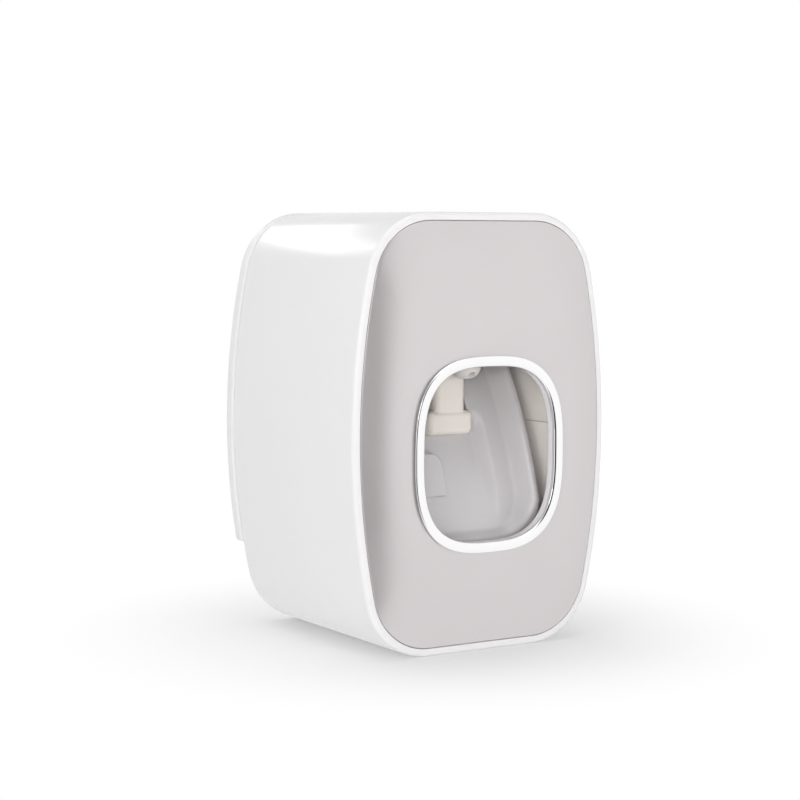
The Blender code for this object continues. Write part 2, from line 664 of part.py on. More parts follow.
def chassis_outline(half_width, low, high, rounding):
    """Square lower corners and rounded upper ones, which follow the casing's corners."""
    points = [(-half_width, low), (half_width, low)]
    points += arc((half_width - rounding, high - rounding), rounding, 0, math.pi / 2, CORNER_STEPS)
    points += arc((rounding - half_width, high - rounding), rounding, math.pi / 2, math.pi, CORNER_STEPS)
    return points


def add_screw_bosses(shell, height):
    """Blocks inside the side walls that take the rear screws."""
    half = SCREW_BOSS_SIZE / 2
    for side in (-1, 1):
        ends = sorted((side * (CHASSIS_HALF_WIDTH - SCREW_BOSS_SIZE), side * (CHASSIS_HALF_WIDTH - SEAT_GAP)))
        block = box("screw_boss", (ends[0], CHASSIS_REAR_Y - SCREW_BOSS_LENGTH, height - half),
                    (ends[1], CHASSIS_REAR_Y - SEAT_GAP / 10, height + half))
        add(shell, block)
        pilot = rod("boss_pilot", (side * SCREW_X, CHASSIS_REAR_Y - SCREW_LENGTH, height),
                    (side * SCREW_X, CHASSIS_REAR_Y + OVERSHOOT, height), SCREW_RADIUS + PIN_GAP,
                    SMALL_ROUND_STEPS)
        cut(shell, pilot)


def pump_screw_places():
    """Where the two pump screws stand, before and behind the inlet boss."""
    step = BOSS_RADIUS + SEAT_GAP + SCREW_HEAD_RADIUS + SEAT_GAP
    return (TUBE_Y - step, TUBE_Y + step)


def swept_back_y():
    """How far back the lever's back and its channel reach at the end of the travel."""
    reach = LEVER_BOW_RADIUS - LEVER_TRAY_DEPTH - LEVER_FLOOR
    angles = (bow_angle(reach, LEVER_BOTTOM_Z), bow_angle(reach, HINGE.z - LEVER_SLOT_DROP))
    points = bow_stretch(reach, *angles) + channel_stretch(CHANNEL_WALL)
    cosine, sine = math.cos(LEVER_TRAVEL), math.sin(LEVER_TRAVEL)
    return max(HINGE.y + (y - HINGE.y) * cosine - (z - HINGE.z) * sine for y, z in points)


BACK_WALL_Y = swept_back_y() + BACK_WALL_CLEARANCE
FLOOR_Z = LEVER_BOTTOM_Z - CHASSIS_FLOOR_CLEARANCE


def make_lower_chassis():
    inner, outer = CHASSIS_INNER, CHASSIS_HALF_WIDTH
    shell = box("lower_blank", (-outer, CHASSIS_FRONT_Y, FLOOR_Z - CHASSIS_WALL), (outer, CHASSIS_REAR_Y, SEAM_Z))
    chamber = box("brush_chamber", (-inner, CHASSIS_FRONT_Y - OVERSHOOT, FLOOR_Z),
                  (inner, BACK_WALL_Y, SEAM_Z + OVERSHOOT))
    rear = box("rear_hollow", (-inner, BACK_WALL_Y + CHASSIS_WALL, FLOOR_Z - CHASSIS_WALL - OVERSHOOT),
               (inner, CHASSIS_REAR_Y + OVERSHOOT, SEAM_Z + OVERSHOOT))
    cut(shell, chamber, rear)
    add_screw_bosses(shell, MIDDLE_Z - SCREW_BOSS_RISE)
    return promote(shell, "lower_chassis", plastic("cream_tray", CREAM, 0.40))


def make_pump_cylinder():
    barrel = rod("cylinder_blank", (0, CYLINDER_FRONT_Y, PUMP_Z), (0, CYLINDER_REAR_Y, PUMP_Z), CYLINDER_RADIUS)
    behind = pump_screw_places()[1]
    saddle = box("saddle_block", (-SADDLE_HALF_WIDTH, CYLINDER_FRONT_Y, PUMP_Z),
                 (SADDLE_HALF_WIDTH, behind + SADDLE_REAR_MARGIN, SADDLE_TOP_Z))
    boss = rod("inlet_boss", (0, TUBE_Y, SADDLE_TOP_Z - OVERSHOOT), (0, TUBE_Y, BOSS_TOP_Z), BOSS_RADIUS)
    add(barrel, saddle, boss)
    bore = rod("cylinder_bore", (0, CYLINDER_FRONT_Y + CYLINDER_FRONT_WALL, PUMP_Z),
               (0, CYLINDER_REAR_Y + OVERSHOOT, PUMP_Z), BORE_RADIUS)
    port = rod("outlet_port", (0, CYLINDER_FRONT_Y - OVERSHOOT, PUMP_Z),
               (0, CYLINDER_FRONT_Y + CYLINDER_FRONT_WALL + OVERSHOOT, PUMP_Z), PORT_RADIUS, SMALL_ROUND_STEPS)
    inlet = rod("inlet_way", (0, TUBE_Y, PUMP_Z), (0, TUBE_Y, BOSS_TOP_Z), INLET_RADIUS, SMALL_ROUND_STEPS)
    neck = rod("neck_seat", (0, TUBE_Y, inlet_seat_z()), (0, TUBE_Y, BOSS_TOP_Z + OVERSHOOT), TUBE_NECK_RADIUS)
    cut(barrel, bore, port, inlet, neck)
    for y in pump_screw_places():
        hole = rod("saddle_pilot", (0, y, pump_screw_tip_z() - SEAT_GAP), (0, y, SADDLE_TOP_Z + OVERSHOOT),
                   SCREW_RADIUS + PIN_GAP, SMALL_ROUND_STEPS)
        cut(barrel, hole)
    return promote(barrel, "pump_cylinder", plastic("pump_cream", CREAM, 0.30))


def inlet_seat_z():
    """The ledge inside the inlet boss on which the inlet valve lies."""
    return ROOF_Z - 2 * VALVE_THICKNESS


def pump_screw_tip_z():
    return ROOF_TOP_Z + SEAT_GAP - PUMP_SCREW_LENGTH


def make_valves():
    low = inlet_seat_z() + SEAT_GAP
    flap = rod("flap_blank", (0, TUBE_Y, low), (0, TUBE_Y, low + VALVE_THICKNESS),
               TUBE_NECK_RADIUS - SEAT_GAP, SMALL_ROUND_STEPS)
    promote(flap, "inlet_valve", plastic("valve_rubber", (0.75, 0.73, 0.70), 0.55))
    back = SPOUT_REAR_Y - SEAT_GAP
    disc = rod("disc_blank", (0, back - VALVE_THICKNESS, PUMP_Z), (0, back, PUMP_Z), VALVE_RADIUS,
               SMALL_ROUND_STEPS)
    promote(disc, "outlet_valve", plastic("outlet_rubber", (0.75, 0.73, 0.70), 0.55))


def make_cylinder_cap():
    cap = rod("cap_blank", (0, CAP_Y, PUMP_Z), (0, CAP_REAR_Y, PUMP_Z), CYLINDER_RADIUS)
    soften(cap, 0.0005, 2)
    cut(cap, rod("rod_way", (0, CAP_Y - OVERSHOOT, PUMP_Z), (0, CAP_REAR_Y + OVERSHOOT, PUMP_Z),
                 PISTON_ROD_RADIUS + SEAT_GAP))
    return promote(cap, "cylinder_cap", plastic("cap_cream", CREAM, 0.35))


def make_piston():
    """The piston with its seal groove, and the ring seal in the groove."""
    radius = BORE_RADIUS - SEAT_GAP
    groove_low = (PISTON_LENGTH - SEAL_WIDTH) / 2 - SEAT_GAP
    groove_high = (PISTON_LENGTH + SEAL_WIDTH) / 2 + SEAT_GAP
    inner = radius - PISTON_GROOVE
    hub = PISTON_ROD_RADIUS + SEAT_GAP
    wall = PISTON_LENGTH / 4
    profile = [(radius, PISTON_LENGTH), (radius, groove_high), (inner, groove_high), (inner, groove_low),
               (radius, groove_low), (radius, 0.0), (0.0, 0.0), (0.0, wall), (hub, wall), (hub, PISTON_LENGTH)]
    along = (-math.pi / 2, 0.0, 0.0)
    piston = turned("piston_blank", profile, (0, PISTON_FRONT_Y, PUMP_Z), along)
    promote(piston, "piston", plastic("piston_white", WHITE, 0.40))
    low = groove_low + SEAT_GAP
    high = groove_high - SEAT_GAP
    seal_outer = BORE_RADIUS - PIN_GAP
    seal_inner = inner + SEAT_GAP
    ring = [(seal_outer, high), (seal_outer, low), (seal_inner, low), (seal_inner, high)]
    seal = turned("seal_blank", ring, (0, PISTON_FRONT_Y, PUMP_Z), along)
    promote(seal, "piston_seal", plastic("seal_black", (0.05, 0.05, 0.05), 0.60))
    return piston, seal


def make_piston_yoke():
    """The rod, the crosshead behind the spring and the two bars to the crank pins."""
    front = CRANK_PIN.y - YOKE_HALF_HEIGHT
    rear = CROSSHEAD_Y + YOKE_CROSSHEAD
    low, high = PUMP_Z - YOKE_HALF_HEIGHT, PUMP_Z + YOKE_HALF_HEIGHT
    yoke = box("yoke_blank", (-YOKE_OUTER, front, low), (YOKE_OUTER, rear, high))
    gap = box("yoke_gap", (-YOKE_INNER, front - OVERSHOOT, low - OVERSHOOT),
              (YOKE_INNER, CROSSHEAD_Y, high + OVERSHOOT))
    cut(yoke, gap)
    stem = rod("yoke_stem", (0, PISTON_FRONT_Y + PISTON_LENGTH / 4 + SEAT_GAP, PUMP_Z),
               (0, rear - YOKE_CROSSHEAD / 2, PUMP_Z), PISTON_ROD_RADIUS)
    add(yoke, stem)
    half = CRANK_PIN_RADIUS + SEAT_GAP
    way = [(y + CRANK_PIN.y, z + PUMP_Z) for y, z in
           rounded_box_outline(half, -SLOT_HALF_HEIGHT, SLOT_HALF_HEIGHT, half * 0.99, half * 0.99, 6)]
    cut(yoke, slab("pin_slot", way, -2 * YOKE_OUTER, 2 * YOKE_OUTER, "side"))
    return promote(yoke, "piston_yoke", plastic("yoke_white", WHITE, 0.40))


def make_return_spring():
    start = CAP_REAR_Y + SEAT_GAP + SPRING_WIRE_RADIUS
    length = SPRING_LENGTH - 2 * SPRING_WIRE_RADIUS
    points_per_turn = 10
    count = max(FEWEST_TURNS, math.floor(length / SPRING_PITCH + 0.5)) * points_per_turn
    places = []
    for k in range(count + 1):
        angle = 2 * math.pi * k / points_per_turn
        places.append(Vector((SPRING_COIL_RADIUS * math.cos(angle), start + length * k / count,
                              PUMP_Z + SPRING_COIL_RADIUS * math.sin(angle))))
    apart = min((places[k] - places[k + points_per_turn + step]).length
                for k in range(count - points_per_turn) for step in (0, 1))
    print("return_spring least gap to itself, mm:", round(1000 * (apart - 2 * SPRING_WIRE_RADIUS), 3))
    curve = bpy.data.curves.new("spring_wire", "CURVE")
    curve.dimensions = "3D"
    curve.bevel_depth = SPRING_WIRE_RADIUS
    curve.bevel_resolution = 1
    curve.use_fill_caps = True
    spline = curve.splines.new("POLY")
    spline.points.add(len(places) - 1)
    for point, place in zip(spline.points, places):
        point.co = (*place, 1.0)
    guide = as_object("spring_path", curve)
    bpy.context.view_layer.update()
    mesh = bpy.data.meshes.new_from_object(guide.evaluated_get(bpy.context.evaluated_depsgraph_get()))
    tidy = bmesh.new()
    tidy.from_mesh(mesh)
    bmesh.ops.remove_doubles(tidy, verts=tidy.verts, dist=1e-7)
    bmesh.ops.recalc_face_normals(tidy, faces=tidy.faces)
    tidy.to_mesh(mesh)
    tidy.free()
    spring = as_object("spring_blank", mesh)
    bpy.data.objects.remove(guide, do_unlink=True)
    return promote(spring, "return_spring", plastic("spring_steel", STEEL, 0.25, 1.0))


def make_outlet():
    """The elbow from the cylinder's port down to the soft nozzle."""
    top_z = PUMP_Z + SPOUT_TUBE_RADIUS
    spout = rod("spout_down", (0, SPOUT_AXIS_Y, SPOUT_BOTTOM_Z), (0, SPOUT_AXIS_Y, top_z), SPOUT_TUBE_RADIUS)
    soften(spout, 0.0006, 2)
    across = rod("spout_across", (0, SPOUT_AXIS_Y, PUMP_Z), (0, SPOUT_REAR_Y, PUMP_Z),
                 VALVE_RADIUS + SEAT_GAP + TRIM_COLLAR_WALL)
    add(spout, across)
    down = rod("down_way", (0, SPOUT_AXIS_Y, SPOUT_BOTTOM_Z - OVERSHOOT), (0, SPOUT_AXIS_Y, PUMP_Z),
               PORT_RADIUS, SMALL_ROUND_STEPS)
    back = rod("back_way", (0, SPOUT_AXIS_Y, PUMP_Z), (0, SPOUT_REAR_Y + OVERSHOOT, PUMP_Z), PORT_RADIUS,
               SMALL_ROUND_STEPS)
    pocket_y = SPOUT_REAR_Y - VALVE_THICKNESS - 2 * SEAT_GAP
    pocket = rod("valve_pocket", (0, pocket_y, PUMP_Z), (0, SPOUT_REAR_Y + OVERSHOOT, PUMP_Z),
                 VALVE_RADIUS + SEAT_GAP)
    cut(spout, down, back, pocket)
    promote(spout, "outlet_spout", plastic("spout_cream", CREAM, 0.35))
    length, end = NOZZLE_LENGTH, NOZZLE_END_RADIUS
    profile = [(NOZZLE_RADIUS, length)]
    profile += [(NOZZLE_RADIUS - end + r, end + z) for r, z in arc((0, 0), end, 0, -math.pi / 2, 6)]
    profile += [(0.0, 0.0), (0.0, length / 4), (PORT_RADIUS, length / 3), (PORT_RADIUS, length)]
    nozzle = turned("nozzle_blank", profile, (0, SPOUT_AXIS_Y, NOZZLE_TOP_Z - length))
    heading = Vector((0, -math.sin(OUTLET_HOLE_TILT), -math.cos(OUTLET_HOLE_TILT)))
    inside = Vector((0, SPOUT_AXIS_Y, NOZZLE_TOP_Z - length / 2))
    cut(nozzle, rod("paste_outlet", inside, inside + heading * length, OUTLET_HOLE_RADIUS, SMALL_ROUND_STEPS))
    return promote(nozzle, "nozzle", plastic("nozzle_silicone", (0.70, 0.68, 0.66), 0.45))


def make_pump_shroud():
    low = HINGE.z - SHROUD_DROP
    high = PUMP_Z - CYLINDER_RADIUS + SHROUD_SEAT
    shroud = box("shroud_blank", (-SHROUD_HALF_WIDTH, CYLINDER_FRONT_Y, low),
                 (SHROUD_HALF_WIDTH, CYLINDER_FRONT_Y + SHROUD_THICKNESS, high))
    lobe = box("shroud_lobe", (-SHROUD_LOBE_HALF_WIDTH, CYLINDER_FRONT_Y - SHROUD_LOBE_PROUD, low),
               (SHROUD_LOBE_HALF_WIDTH, CYLINDER_FRONT_Y + SHROUD_LOBE_DEPTH, low + SHROUD_LOBE_HEIGHT))
    soften(shroud, SHROUD_ROUNDING, 2)
    soften(lobe, SHROUD_ROUNDING, 3)
    add(shroud, lobe)
    cut(shroud, rod("cylinder_seat", (0, CYLINDER_FRONT_Y - OVERSHOOT, PUMP_Z), (0, CYLINDER_REAR_Y, PUMP_Z),
                    CYLINDER_RADIUS + SEAT_GAP))
    return promote(shroud, "pump_shroud", plastic("shroud_cream", (0.74, 0.68, 0.62), 0.35))


def make_tube_socket():
    low = ROOF_TOP_Z + SEAT_GAP
    high = CASING_HEIGHT - COLLAR_SET_BACK
    height = high - low
    gasket_low = BOSS_TOP_Z + SEAT_GAP
    chamfer = COLLAR_WALL / 3
    inner = COLLAR_RADIUS - COLLAR_WALL
    profile = [(COLLAR_RADIUS, height), (COLLAR_RADIUS, 0.0), (inner, 0.0), (inner, height - chamfer),
               (inner + chamfer, height)]
    collar = turned("collar_blank", profile, (0, TUBE_Y, low))
    promote(collar, "tube_collar", plastic("collar_grey", (0.70, 0.70, 0.71), 0.35))
    outer = inner - SEAT_GAP
    lip_z = high - chamfer - gasket_low
    rubber = [(outer, lip_z), (outer, 0.0), (TUBE_NECK_RADIUS, 0.0), (TUBE_NECK_RADIUS, GASKET_THICKNESS),
              (outer - GASKET_LIP_WALL, lip_z)]
    gasket = turned("gasket_blank", rubber, (0, TUBE_Y, gasket_low))
    promote(gasket, "tube_gasket", plastic("gasket_rubber", (0.30, 0.30, 0.32), 0.60))


def make_hinge_pins():
    for side, word in ((-1, "left"), (1, "right")):
        tip = CHASSIS_HALF_WIDTH - HINGE_PIN_LENGTH
        head = CHASSIS_HALF_WIDTH + SEAT_GAP
        profile = [(PIN_HEAD_RADIUS, head + PIN_HEAD_HEIGHT), (PIN_HEAD_RADIUS, head), (HINGE_PIN_RADIUS, head),
                   (HINGE_PIN_RADIUS, tip), (0.0, tip), (0.0, head + PIN_HEAD_HEIGHT)]
        pin = turned("pin_blank", profile, (0, HINGE.y, HINGE.z), (0.0, side * math.pi / 2, 0.0))
        promote(pin, "hinge_pin_" + word, plastic("hinge_steel_" + word, STEEL, 0.25, 1.0))


def make_crank_pins():
    pins = []
    for side, word in ((-1, "left"), (1, "right")):
        start = (side * (YOKE_INNER + SEAT_GAP), CRANK_PIN.y, CRANK_PIN.z)
        end = (side * (CRANK_OUTER + SEAT_GAP), CRANK_PIN.y, CRANK_PIN.z)
        pin = rod("crank_pin_blank", start, end, CRANK_PIN_RADIUS, SMALL_ROUND_STEPS)
        pins.append(promote(pin, "crank_pin_" + word, plastic("crank_steel_" + word, STEEL, 0.25, 1.0)))
    return pins


def make_screw(name, head_place, rotation, length):
    """A pan-head screw whose head's underside lies at head_place, shank along local -Z."""
    profile = [(SCREW_HEAD_RADIUS * 0.7, SCREW_HEAD_HEIGHT), (SCREW_HEAD_RADIUS, SCREW_HEAD_HEIGHT * 0.6),
               (SCREW_HEAD_RADIUS, 0.0), (SCREW_RADIUS, 0.0), (SCREW_RADIUS, -length + SCREW_RADIUS),
               (0.0, -length), (0.0, SCREW_HEAD_HEIGHT)]
    screw = turned(name + "_blank", profile, head_place, rotation, SMALL_ROUND_STEPS)
    turn = screw.rotation_euler.to_matrix()
    arm, slim, deep = SCREW_HEAD_RADIUS * 0.6, SCREW_RECESS_WIDTH / 2, SCREW_RECESS_DEPTH
    for across, along in ((arm, slim), (slim, arm)):
        recess = box(name + "_recess", (-across, -along, -deep), (across, along, deep))
        recess.rotation_euler = rotation
        recess.location = Vector(head_place) + turn @ Vector((0, 0, SCREW_HEAD_HEIGHT))
        cut(screw, recess)
    return promote(screw, name, plastic(name + "_steel", STEEL, 0.30, 1.0))


def make_screws():
    for y, word in zip(pump_screw_places(), ("front", "rear")):
        make_screw("pump_screw_" + word, (0, y, ROOF_TOP_Z + SEAT_GAP), (0, 0, 0), PUMP_SCREW_LENGTH)
    number = 1
    for height in (MIDDLE_Z + SCREW_BOSS_RISE, MIDDLE_Z - SCREW_BOSS_RISE):
        for side in (-1, 1):
            place = (side * SCREW_X, rear_screw_seat_y(), height)
            make_screw("rear_screw_%d" % number, place, (-math.pi / 2, 0, 0), SCREW_LENGTH)
            number += 1


def rear_screw_seat_y():
    """The head's underside, sunk so that the head stays under the cover's back."""
    return REAR_Y - SEAT_GAP - SCREW_HEAD_HEIGHT


def hook_slot(side):
    """The low and high corners of one hook slot, across and upright."""
    high = HOOK_Z + HOOK_NECK + SEAT_GAP
    low = HOOK_Z - BRACKET_TRAVEL - RUNNING_GAP
    inner = side * (HOOK_OFFSET - HOOK_HALF_WIDTH - RUNNING_GAP)
    outer = side * (HOOK_OFFSET + HOOK_HALF_WIDTH + RUNNING_GAP)
    return (min(inner, outer), low), (max(inner, outer), high)


def make_rear_cover():
    outline = casing_outline(RIM_THICKNESS + SEAT_GAP)
    cover = slab("cover_blank", outline, COVER_Y, REAR_Y, "front")
    for side in (-1, 1):
        low, high = hook_slot(side)
        cut(cover, box("hook_slot", (low[0], COVER_Y - OVERSHOOT, low[1]), (high[0], REAR_Y + OVERSHOOT, high[1])))
        for height in (MIDDLE_Z + SCREW_BOSS_RISE, MIDDLE_Z - SCREW_BOSS_RISE):
            x = side * SCREW_X
            hole = rod("cover_hole", (x, COVER_Y - OVERSHOOT, height), (x, REAR_Y + OVERSHOOT, height),
                       SCREW_RADIUS + SEAT_GAP, SMALL_ROUND_STEPS)
            sink = rod("head_sink", (x, rear_screw_seat_y() - SEAT_GAP, height), (x, REAR_Y + OVERSHOOT, height),
                       SCREW_HEAD_RADIUS + SEAT_GAP, SMALL_ROUND_STEPS)
            cut(cover, hole, sink)
    return promote(cover, "rear_cover", plastic("cover_white", WHITE, 0.35))


def make_wall_bracket():
    face_y = REAR_Y + SEAT_GAP
    back_y = face_y + BRACKET_THICKNESS
    plate = slab("bracket_blank", casing_outline(0.0), face_y, back_y, "front")
    cut(plate, box("bracket_lower_cut", (-CASING_WIDTH, face_y - OVERSHOOT, -OVERSHOOT),
                   (CASING_WIDTH, back_y + OVERSHOOT, BRACKET_BOTTOM)))
    soften(plate, BRACKET_ROUNDING, 2)
    recess = box("pad_recess", (-PAD_HALF_WIDTH - SEAT_GAP, back_y - PAD_RECESS, pad_low_z() - SEAT_GAP),
                 (PAD_HALF_WIDTH + SEAT_GAP, back_y + OVERSHOOT, pad_low_z() + 2 * PAD_HALF_HEIGHT + SEAT_GAP))
    cut(plate, recess)
    lip_back = COVER_Y - SEAT_GAP
    for side in (-1, 1):
        ends = sorted((side * (HOOK_OFFSET - HOOK_HALF_WIDTH), side * (HOOK_OFFSET + HOOK_HALF_WIDTH)))
        neck = box("hook_neck", (ends[0], lip_back - HOOK_LIP_THICKNESS, HOOK_Z),
                   (ends[1], face_y + BRACKET_THICKNESS / 3, HOOK_Z + HOOK_NECK))
        lip = box("hook_lip", (ends[0], lip_back - HOOK_LIP_THICKNESS, HOOK_Z + HOOK_NECK / 3),
                  (ends[1], lip_back, HOOK_Z + HOOK_NECK + HOOK_LIP))
        add(neck, lip)
        add(plate, neck)
    return promote(plate, "wall_bracket", plastic("bracket_white", WHITE, 0.35))


def pad_low_z():
    return MIDDLE_Z + PAD_RAISE - PAD_HALF_HEIGHT


def make_adhesive_pad():
    front = REAR_Y + SEAT_GAP + BRACKET_THICKNESS - PAD_RECESS + SEAT_GAP
    low = pad_low_z()
    outline = rounded_box_outline(PAD_HALF_WIDTH, low, low + 2 * PAD_HALF_HEIGHT, 0.003, 0.003, 4)
    pad = slab("pad_blank", outline, front, front + PAD_THICKNESS, "front")
    return promote(pad, "adhesive_pad", plastic("pad_grey", (0.45, 0.45, 0.45), 0.80))


def build():
    make_casing()
    make_front_panel()
    make_window_trim()
    make_upper_chassis()
    make_lower_chassis()
    make_pump_cylinder()
    make_valves()
    make_cylinder_cap()
    make_outlet()
    make_pump_shroud()
    make_tube_socket()
    make_hinge_pins()
    make_screws()
    make_rear_cover()
    make_return_spring()
    lever_hinge = joint_empty("lever_hinge_axis", HINGE)
    for item in [make_push_lever()] + make_crank_pins():
        hang(item, lever_hinge)
    stroke_axis = joint_empty("piston_stroke_axis", (0, CROSSHEAD_Y, PUMP_Z))
    for item in [make_piston_yoke(), *make_piston()]:
        hang(item, stroke_axis)
    bracket_axis = joint_empty("bracket_slide_axis", (0, REAR_Y, HOOK_Z))
    for item in (make_wall_bracket(), make_adhesive_pad()):
        hang(item, bracket_axis)


build()
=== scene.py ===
import json
import math

import bmesh
import bpy
from mathutils import Matrix, Vector

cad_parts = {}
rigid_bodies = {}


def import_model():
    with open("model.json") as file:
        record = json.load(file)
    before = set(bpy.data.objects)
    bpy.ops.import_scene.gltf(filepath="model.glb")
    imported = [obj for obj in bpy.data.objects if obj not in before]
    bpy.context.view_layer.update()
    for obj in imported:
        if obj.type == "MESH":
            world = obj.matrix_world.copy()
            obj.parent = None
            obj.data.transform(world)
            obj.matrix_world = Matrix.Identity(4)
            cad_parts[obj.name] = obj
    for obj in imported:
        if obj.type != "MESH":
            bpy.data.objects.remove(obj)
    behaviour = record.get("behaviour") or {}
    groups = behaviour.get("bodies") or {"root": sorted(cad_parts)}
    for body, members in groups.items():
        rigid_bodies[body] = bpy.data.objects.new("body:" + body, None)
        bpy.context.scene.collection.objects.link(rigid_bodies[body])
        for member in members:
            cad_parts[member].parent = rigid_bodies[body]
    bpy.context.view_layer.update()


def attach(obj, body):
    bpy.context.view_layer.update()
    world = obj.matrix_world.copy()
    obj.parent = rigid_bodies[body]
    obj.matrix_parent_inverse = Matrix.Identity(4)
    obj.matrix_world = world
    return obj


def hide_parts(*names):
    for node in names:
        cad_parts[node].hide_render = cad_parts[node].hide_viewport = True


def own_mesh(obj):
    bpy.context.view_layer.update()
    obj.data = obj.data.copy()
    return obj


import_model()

# Casing and clearances, in metres
CASING_WIDTH = 0.075
CASING_HEIGHT = 0.109
CORNER_RADIUS = 0.018
SIDE_BOW_RADIUS = 0.190
RIM_THICKNESS = 0.0020
LEDGE_STEP = 0.0008
RIM_ROUNDING = 0.0014
SEAT_GAP = 0.0003
RUNNING_GAP = 0.0005
PIN_GAP = 0.0001
FRONT_Y = -0.0314
REAR_Y = 0.0306
MIDDLE_Z = CASING_HEIGHT / 2

# Front panel and window ring
PANEL_THICKNESS = 0.0024
PANEL_CROWN = 0.0027
PANEL_CROWN_POWER = 2.4
PANEL_EDGE_ROUNDING = 0.00035
PANEL_EDGE_GAP = 0.00008
PANEL_FLAT_MARGIN = 0.0006
WINDOW_Z = 0.0495
WINDOW_HALF_WIDTH = 0.0194
WINDOW_HALF_HEIGHT = 0.0217
WINDOW_ROUNDNESS = 3.0
TRIM_BAND = 0.0026
TRIM_THICKNESS = 0.0007
TRIM_COLLAR_WALL = 0.0012
TRIM_DEPTH = 0.0030
HOLE_CHAMFER = 0.0008

# Push lever
HINGE = Vector((0.0, -0.0064, 0.0795))
LEVER_HALF_WIDTH = 0.0200
LEVER_FLOOR = 0.0020
LEVER_GRID = 0.00025
RIM_CREST = 0.0016
RIM_ROLL = 0.0015
HOLLOW_EASE = 0.0034
HOLLOW_ROUNDING = 0.0130
LEVER_TRAY_DEPTH = 0.0051
LEVER_SLOT_HALF_WIDTH = 0.0070
LEVER_SLOT_DROP = 0.0262
ARM_GAP_HALF_WIDTH = 0.0062
ARM_GAP_DROP = 0.0213
CHANNEL_DEPTH = 0.0035
CHANNEL_WALL = 0.0016
CHANNEL_DROP = 0.0475
CHANNEL_EASE = 0.0034
SLOT_FADE = 0.0055
REST_INNER_EDGE = 0.0049
REST_OUTER_EDGE = 0.0125
REST_TOP_DROP = 0.0303
REST_BOTTOM_DROP = 0.0416
REST_ROUNDING = 0.0028
REST_PROUD = 0.0005
REST_EASE = 0.0006
LEVER_BOTTOM_RADIUS = 0.0090
LEVER_TIP = 0.0113
PLATE_ROUNDING = 0.0005
LEVER_LIP = 0.0012
LEVER_BOW_RADIUS = 0.133
LEVER_TIP_LEAN = math.radians(15)
RIM_CORNER_FORWARD = 0.0226
RIM_CORNER_DROP = 0.0434
BARREL_RADIUS = 0.0036
HINGE_PIN_RADIUS = 0.0020
CRANK_PIN = Vector((0.0, -0.00432, 0.09132))
CRANK_PIN_RADIUS = 0.0015
CRANK_INNER = 0.0139
CRANK_OUTER = 0.0169
YOKE_INNER = 0.0106

# Pump, nozzle and shroud
PUMP_Z = CRANK_PIN.z
TUBE_Y = -0.0034
HINGE_LINE = ("X", HINGE.yz)
PUMP_LINE = ("Y", (0, PUMP_Z))
TUBE_LINE = ("Z", (0, TUBE_Y))
CYLINDER_RADIUS = 0.0090
CYLINDER_FRONT_Y = FRONT_Y + 0.0145
SHROUD_HALF_WIDTH = 0.0046
SHROUD_THICKNESS = 0.0100
SHROUD_LOBE_HALF_WIDTH = 0.0068
SHROUD_LOBE_HEIGHT = 0.0062
SHROUD_LOBE_PROUD = 0.0004
SHROUD_LOBE_DEPTH = 0.0060
SHROUD_DROP = 0.0268
SHROUD_SEAT = 0.0060
SHROUD_ROUNDING = 0.0016
NOZZLE_RADIUS = 0.0042
NOZZLE_LENGTH = 0.0090
NOZZLE_DROP = 0.0120
NOZZLE_END_RADIUS = 0.0034
PORT_RADIUS = 0.0022
OUTLET_HOLE_RADIUS = 0.0009
OUTLET_HOLE_TILT = math.radians(45)
SPOUT_REAR_Y = CYLINDER_FRONT_Y - SEAT_GAP
SPOUT_AXIS_FORWARD = 0.0057
SPOUT_AXIS_Y = SPOUT_REAR_Y - SPOUT_AXIS_FORWARD
SPOUT_TUBE_RADIUS = 0.0046
NOZZLE_TOP_Z = HINGE.z - NOZZLE_DROP + NOZZLE_LENGTH
BORE_RADIUS = 0.0070
CYLINDER_FRONT_WALL = 0.0018
SADDLE_HALF_WIDTH = 0.0085
SADDLE_REAR_MARGIN = 0.0027
INLET_RADIUS = 0.0030
TUBE_NECK_RADIUS = 0.0060
BOSS_RADIUS = 0.0076
PISTON_FRONT_Y = 0.00477
PISTON_LENGTH = 0.0065
PISTON_GROOVE = 0.0012
SEAL_WIDTH = 0.0020
PISTON_ROD_RADIUS = 0.0026
CYLINDER_REAR_Y = PISTON_FRONT_Y + PISTON_LENGTH + 0.0010
CAP_THICKNESS = 0.0025
YOKE_OUTER = 0.0134
YOKE_HALF_HEIGHT = 0.0042
YOKE_CROSSHEAD = 0.0025
CROSSHEAD_CLEARANCE = 0.0010
SLOT_HALF_HEIGHT = 0.0024
SPRING_WIRE_RADIUS = 0.0004
SPRING_COIL_RADIUS = 0.0042
SPRING_TURNS = 6
VALVE_THICKNESS = 0.0008
VALVE_RADIUS = 0.0036

# Inner housing, back, socket and fastenings
COVER_THICKNESS = 0.0024
COVER_Y = REAR_Y - COVER_THICKNESS
CHASSIS_HALF_WIDTH = 0.0260
CHASSIS_WALL = 0.0020
CHASSIS_ROUNDING = 0.0090
CHASSIS_FRONT_Y = FRONT_Y + PANEL_THICKNESS + SEAT_GAP
CHASSIS_REAR_Y = COVER_Y - SEAT_GAP
CHASSIS_FLOOR_CLEARANCE = 0.0065
BACK_WALL_CLEARANCE = 0.0006
LEVER_TRAVEL = math.radians(20)
SEAM_Z = 0.0555
ROOF_Z = PUMP_Z + CYLINDER_RADIUS + 0.0014
ROOF_TOP_Z = ROOF_Z + CHASSIS_WALL
INLET_SEAT_Z = ROOF_Z - 2 * VALVE_THICKNESS
SCREW_BOSS_SIZE = 0.0076
SCREW_BOSS_LENGTH = 0.0100
SCREW_BOSS_RISE = 0.0300
SCREW_X = CHASSIS_HALF_WIDTH - SCREW_BOSS_SIZE / 2
SCREW_RADIUS = 0.0012
SCREW_LENGTH = 0.0080
PUMP_SCREW_LENGTH = 0.0046
PUMP_SCREW_STEP = 0.0108
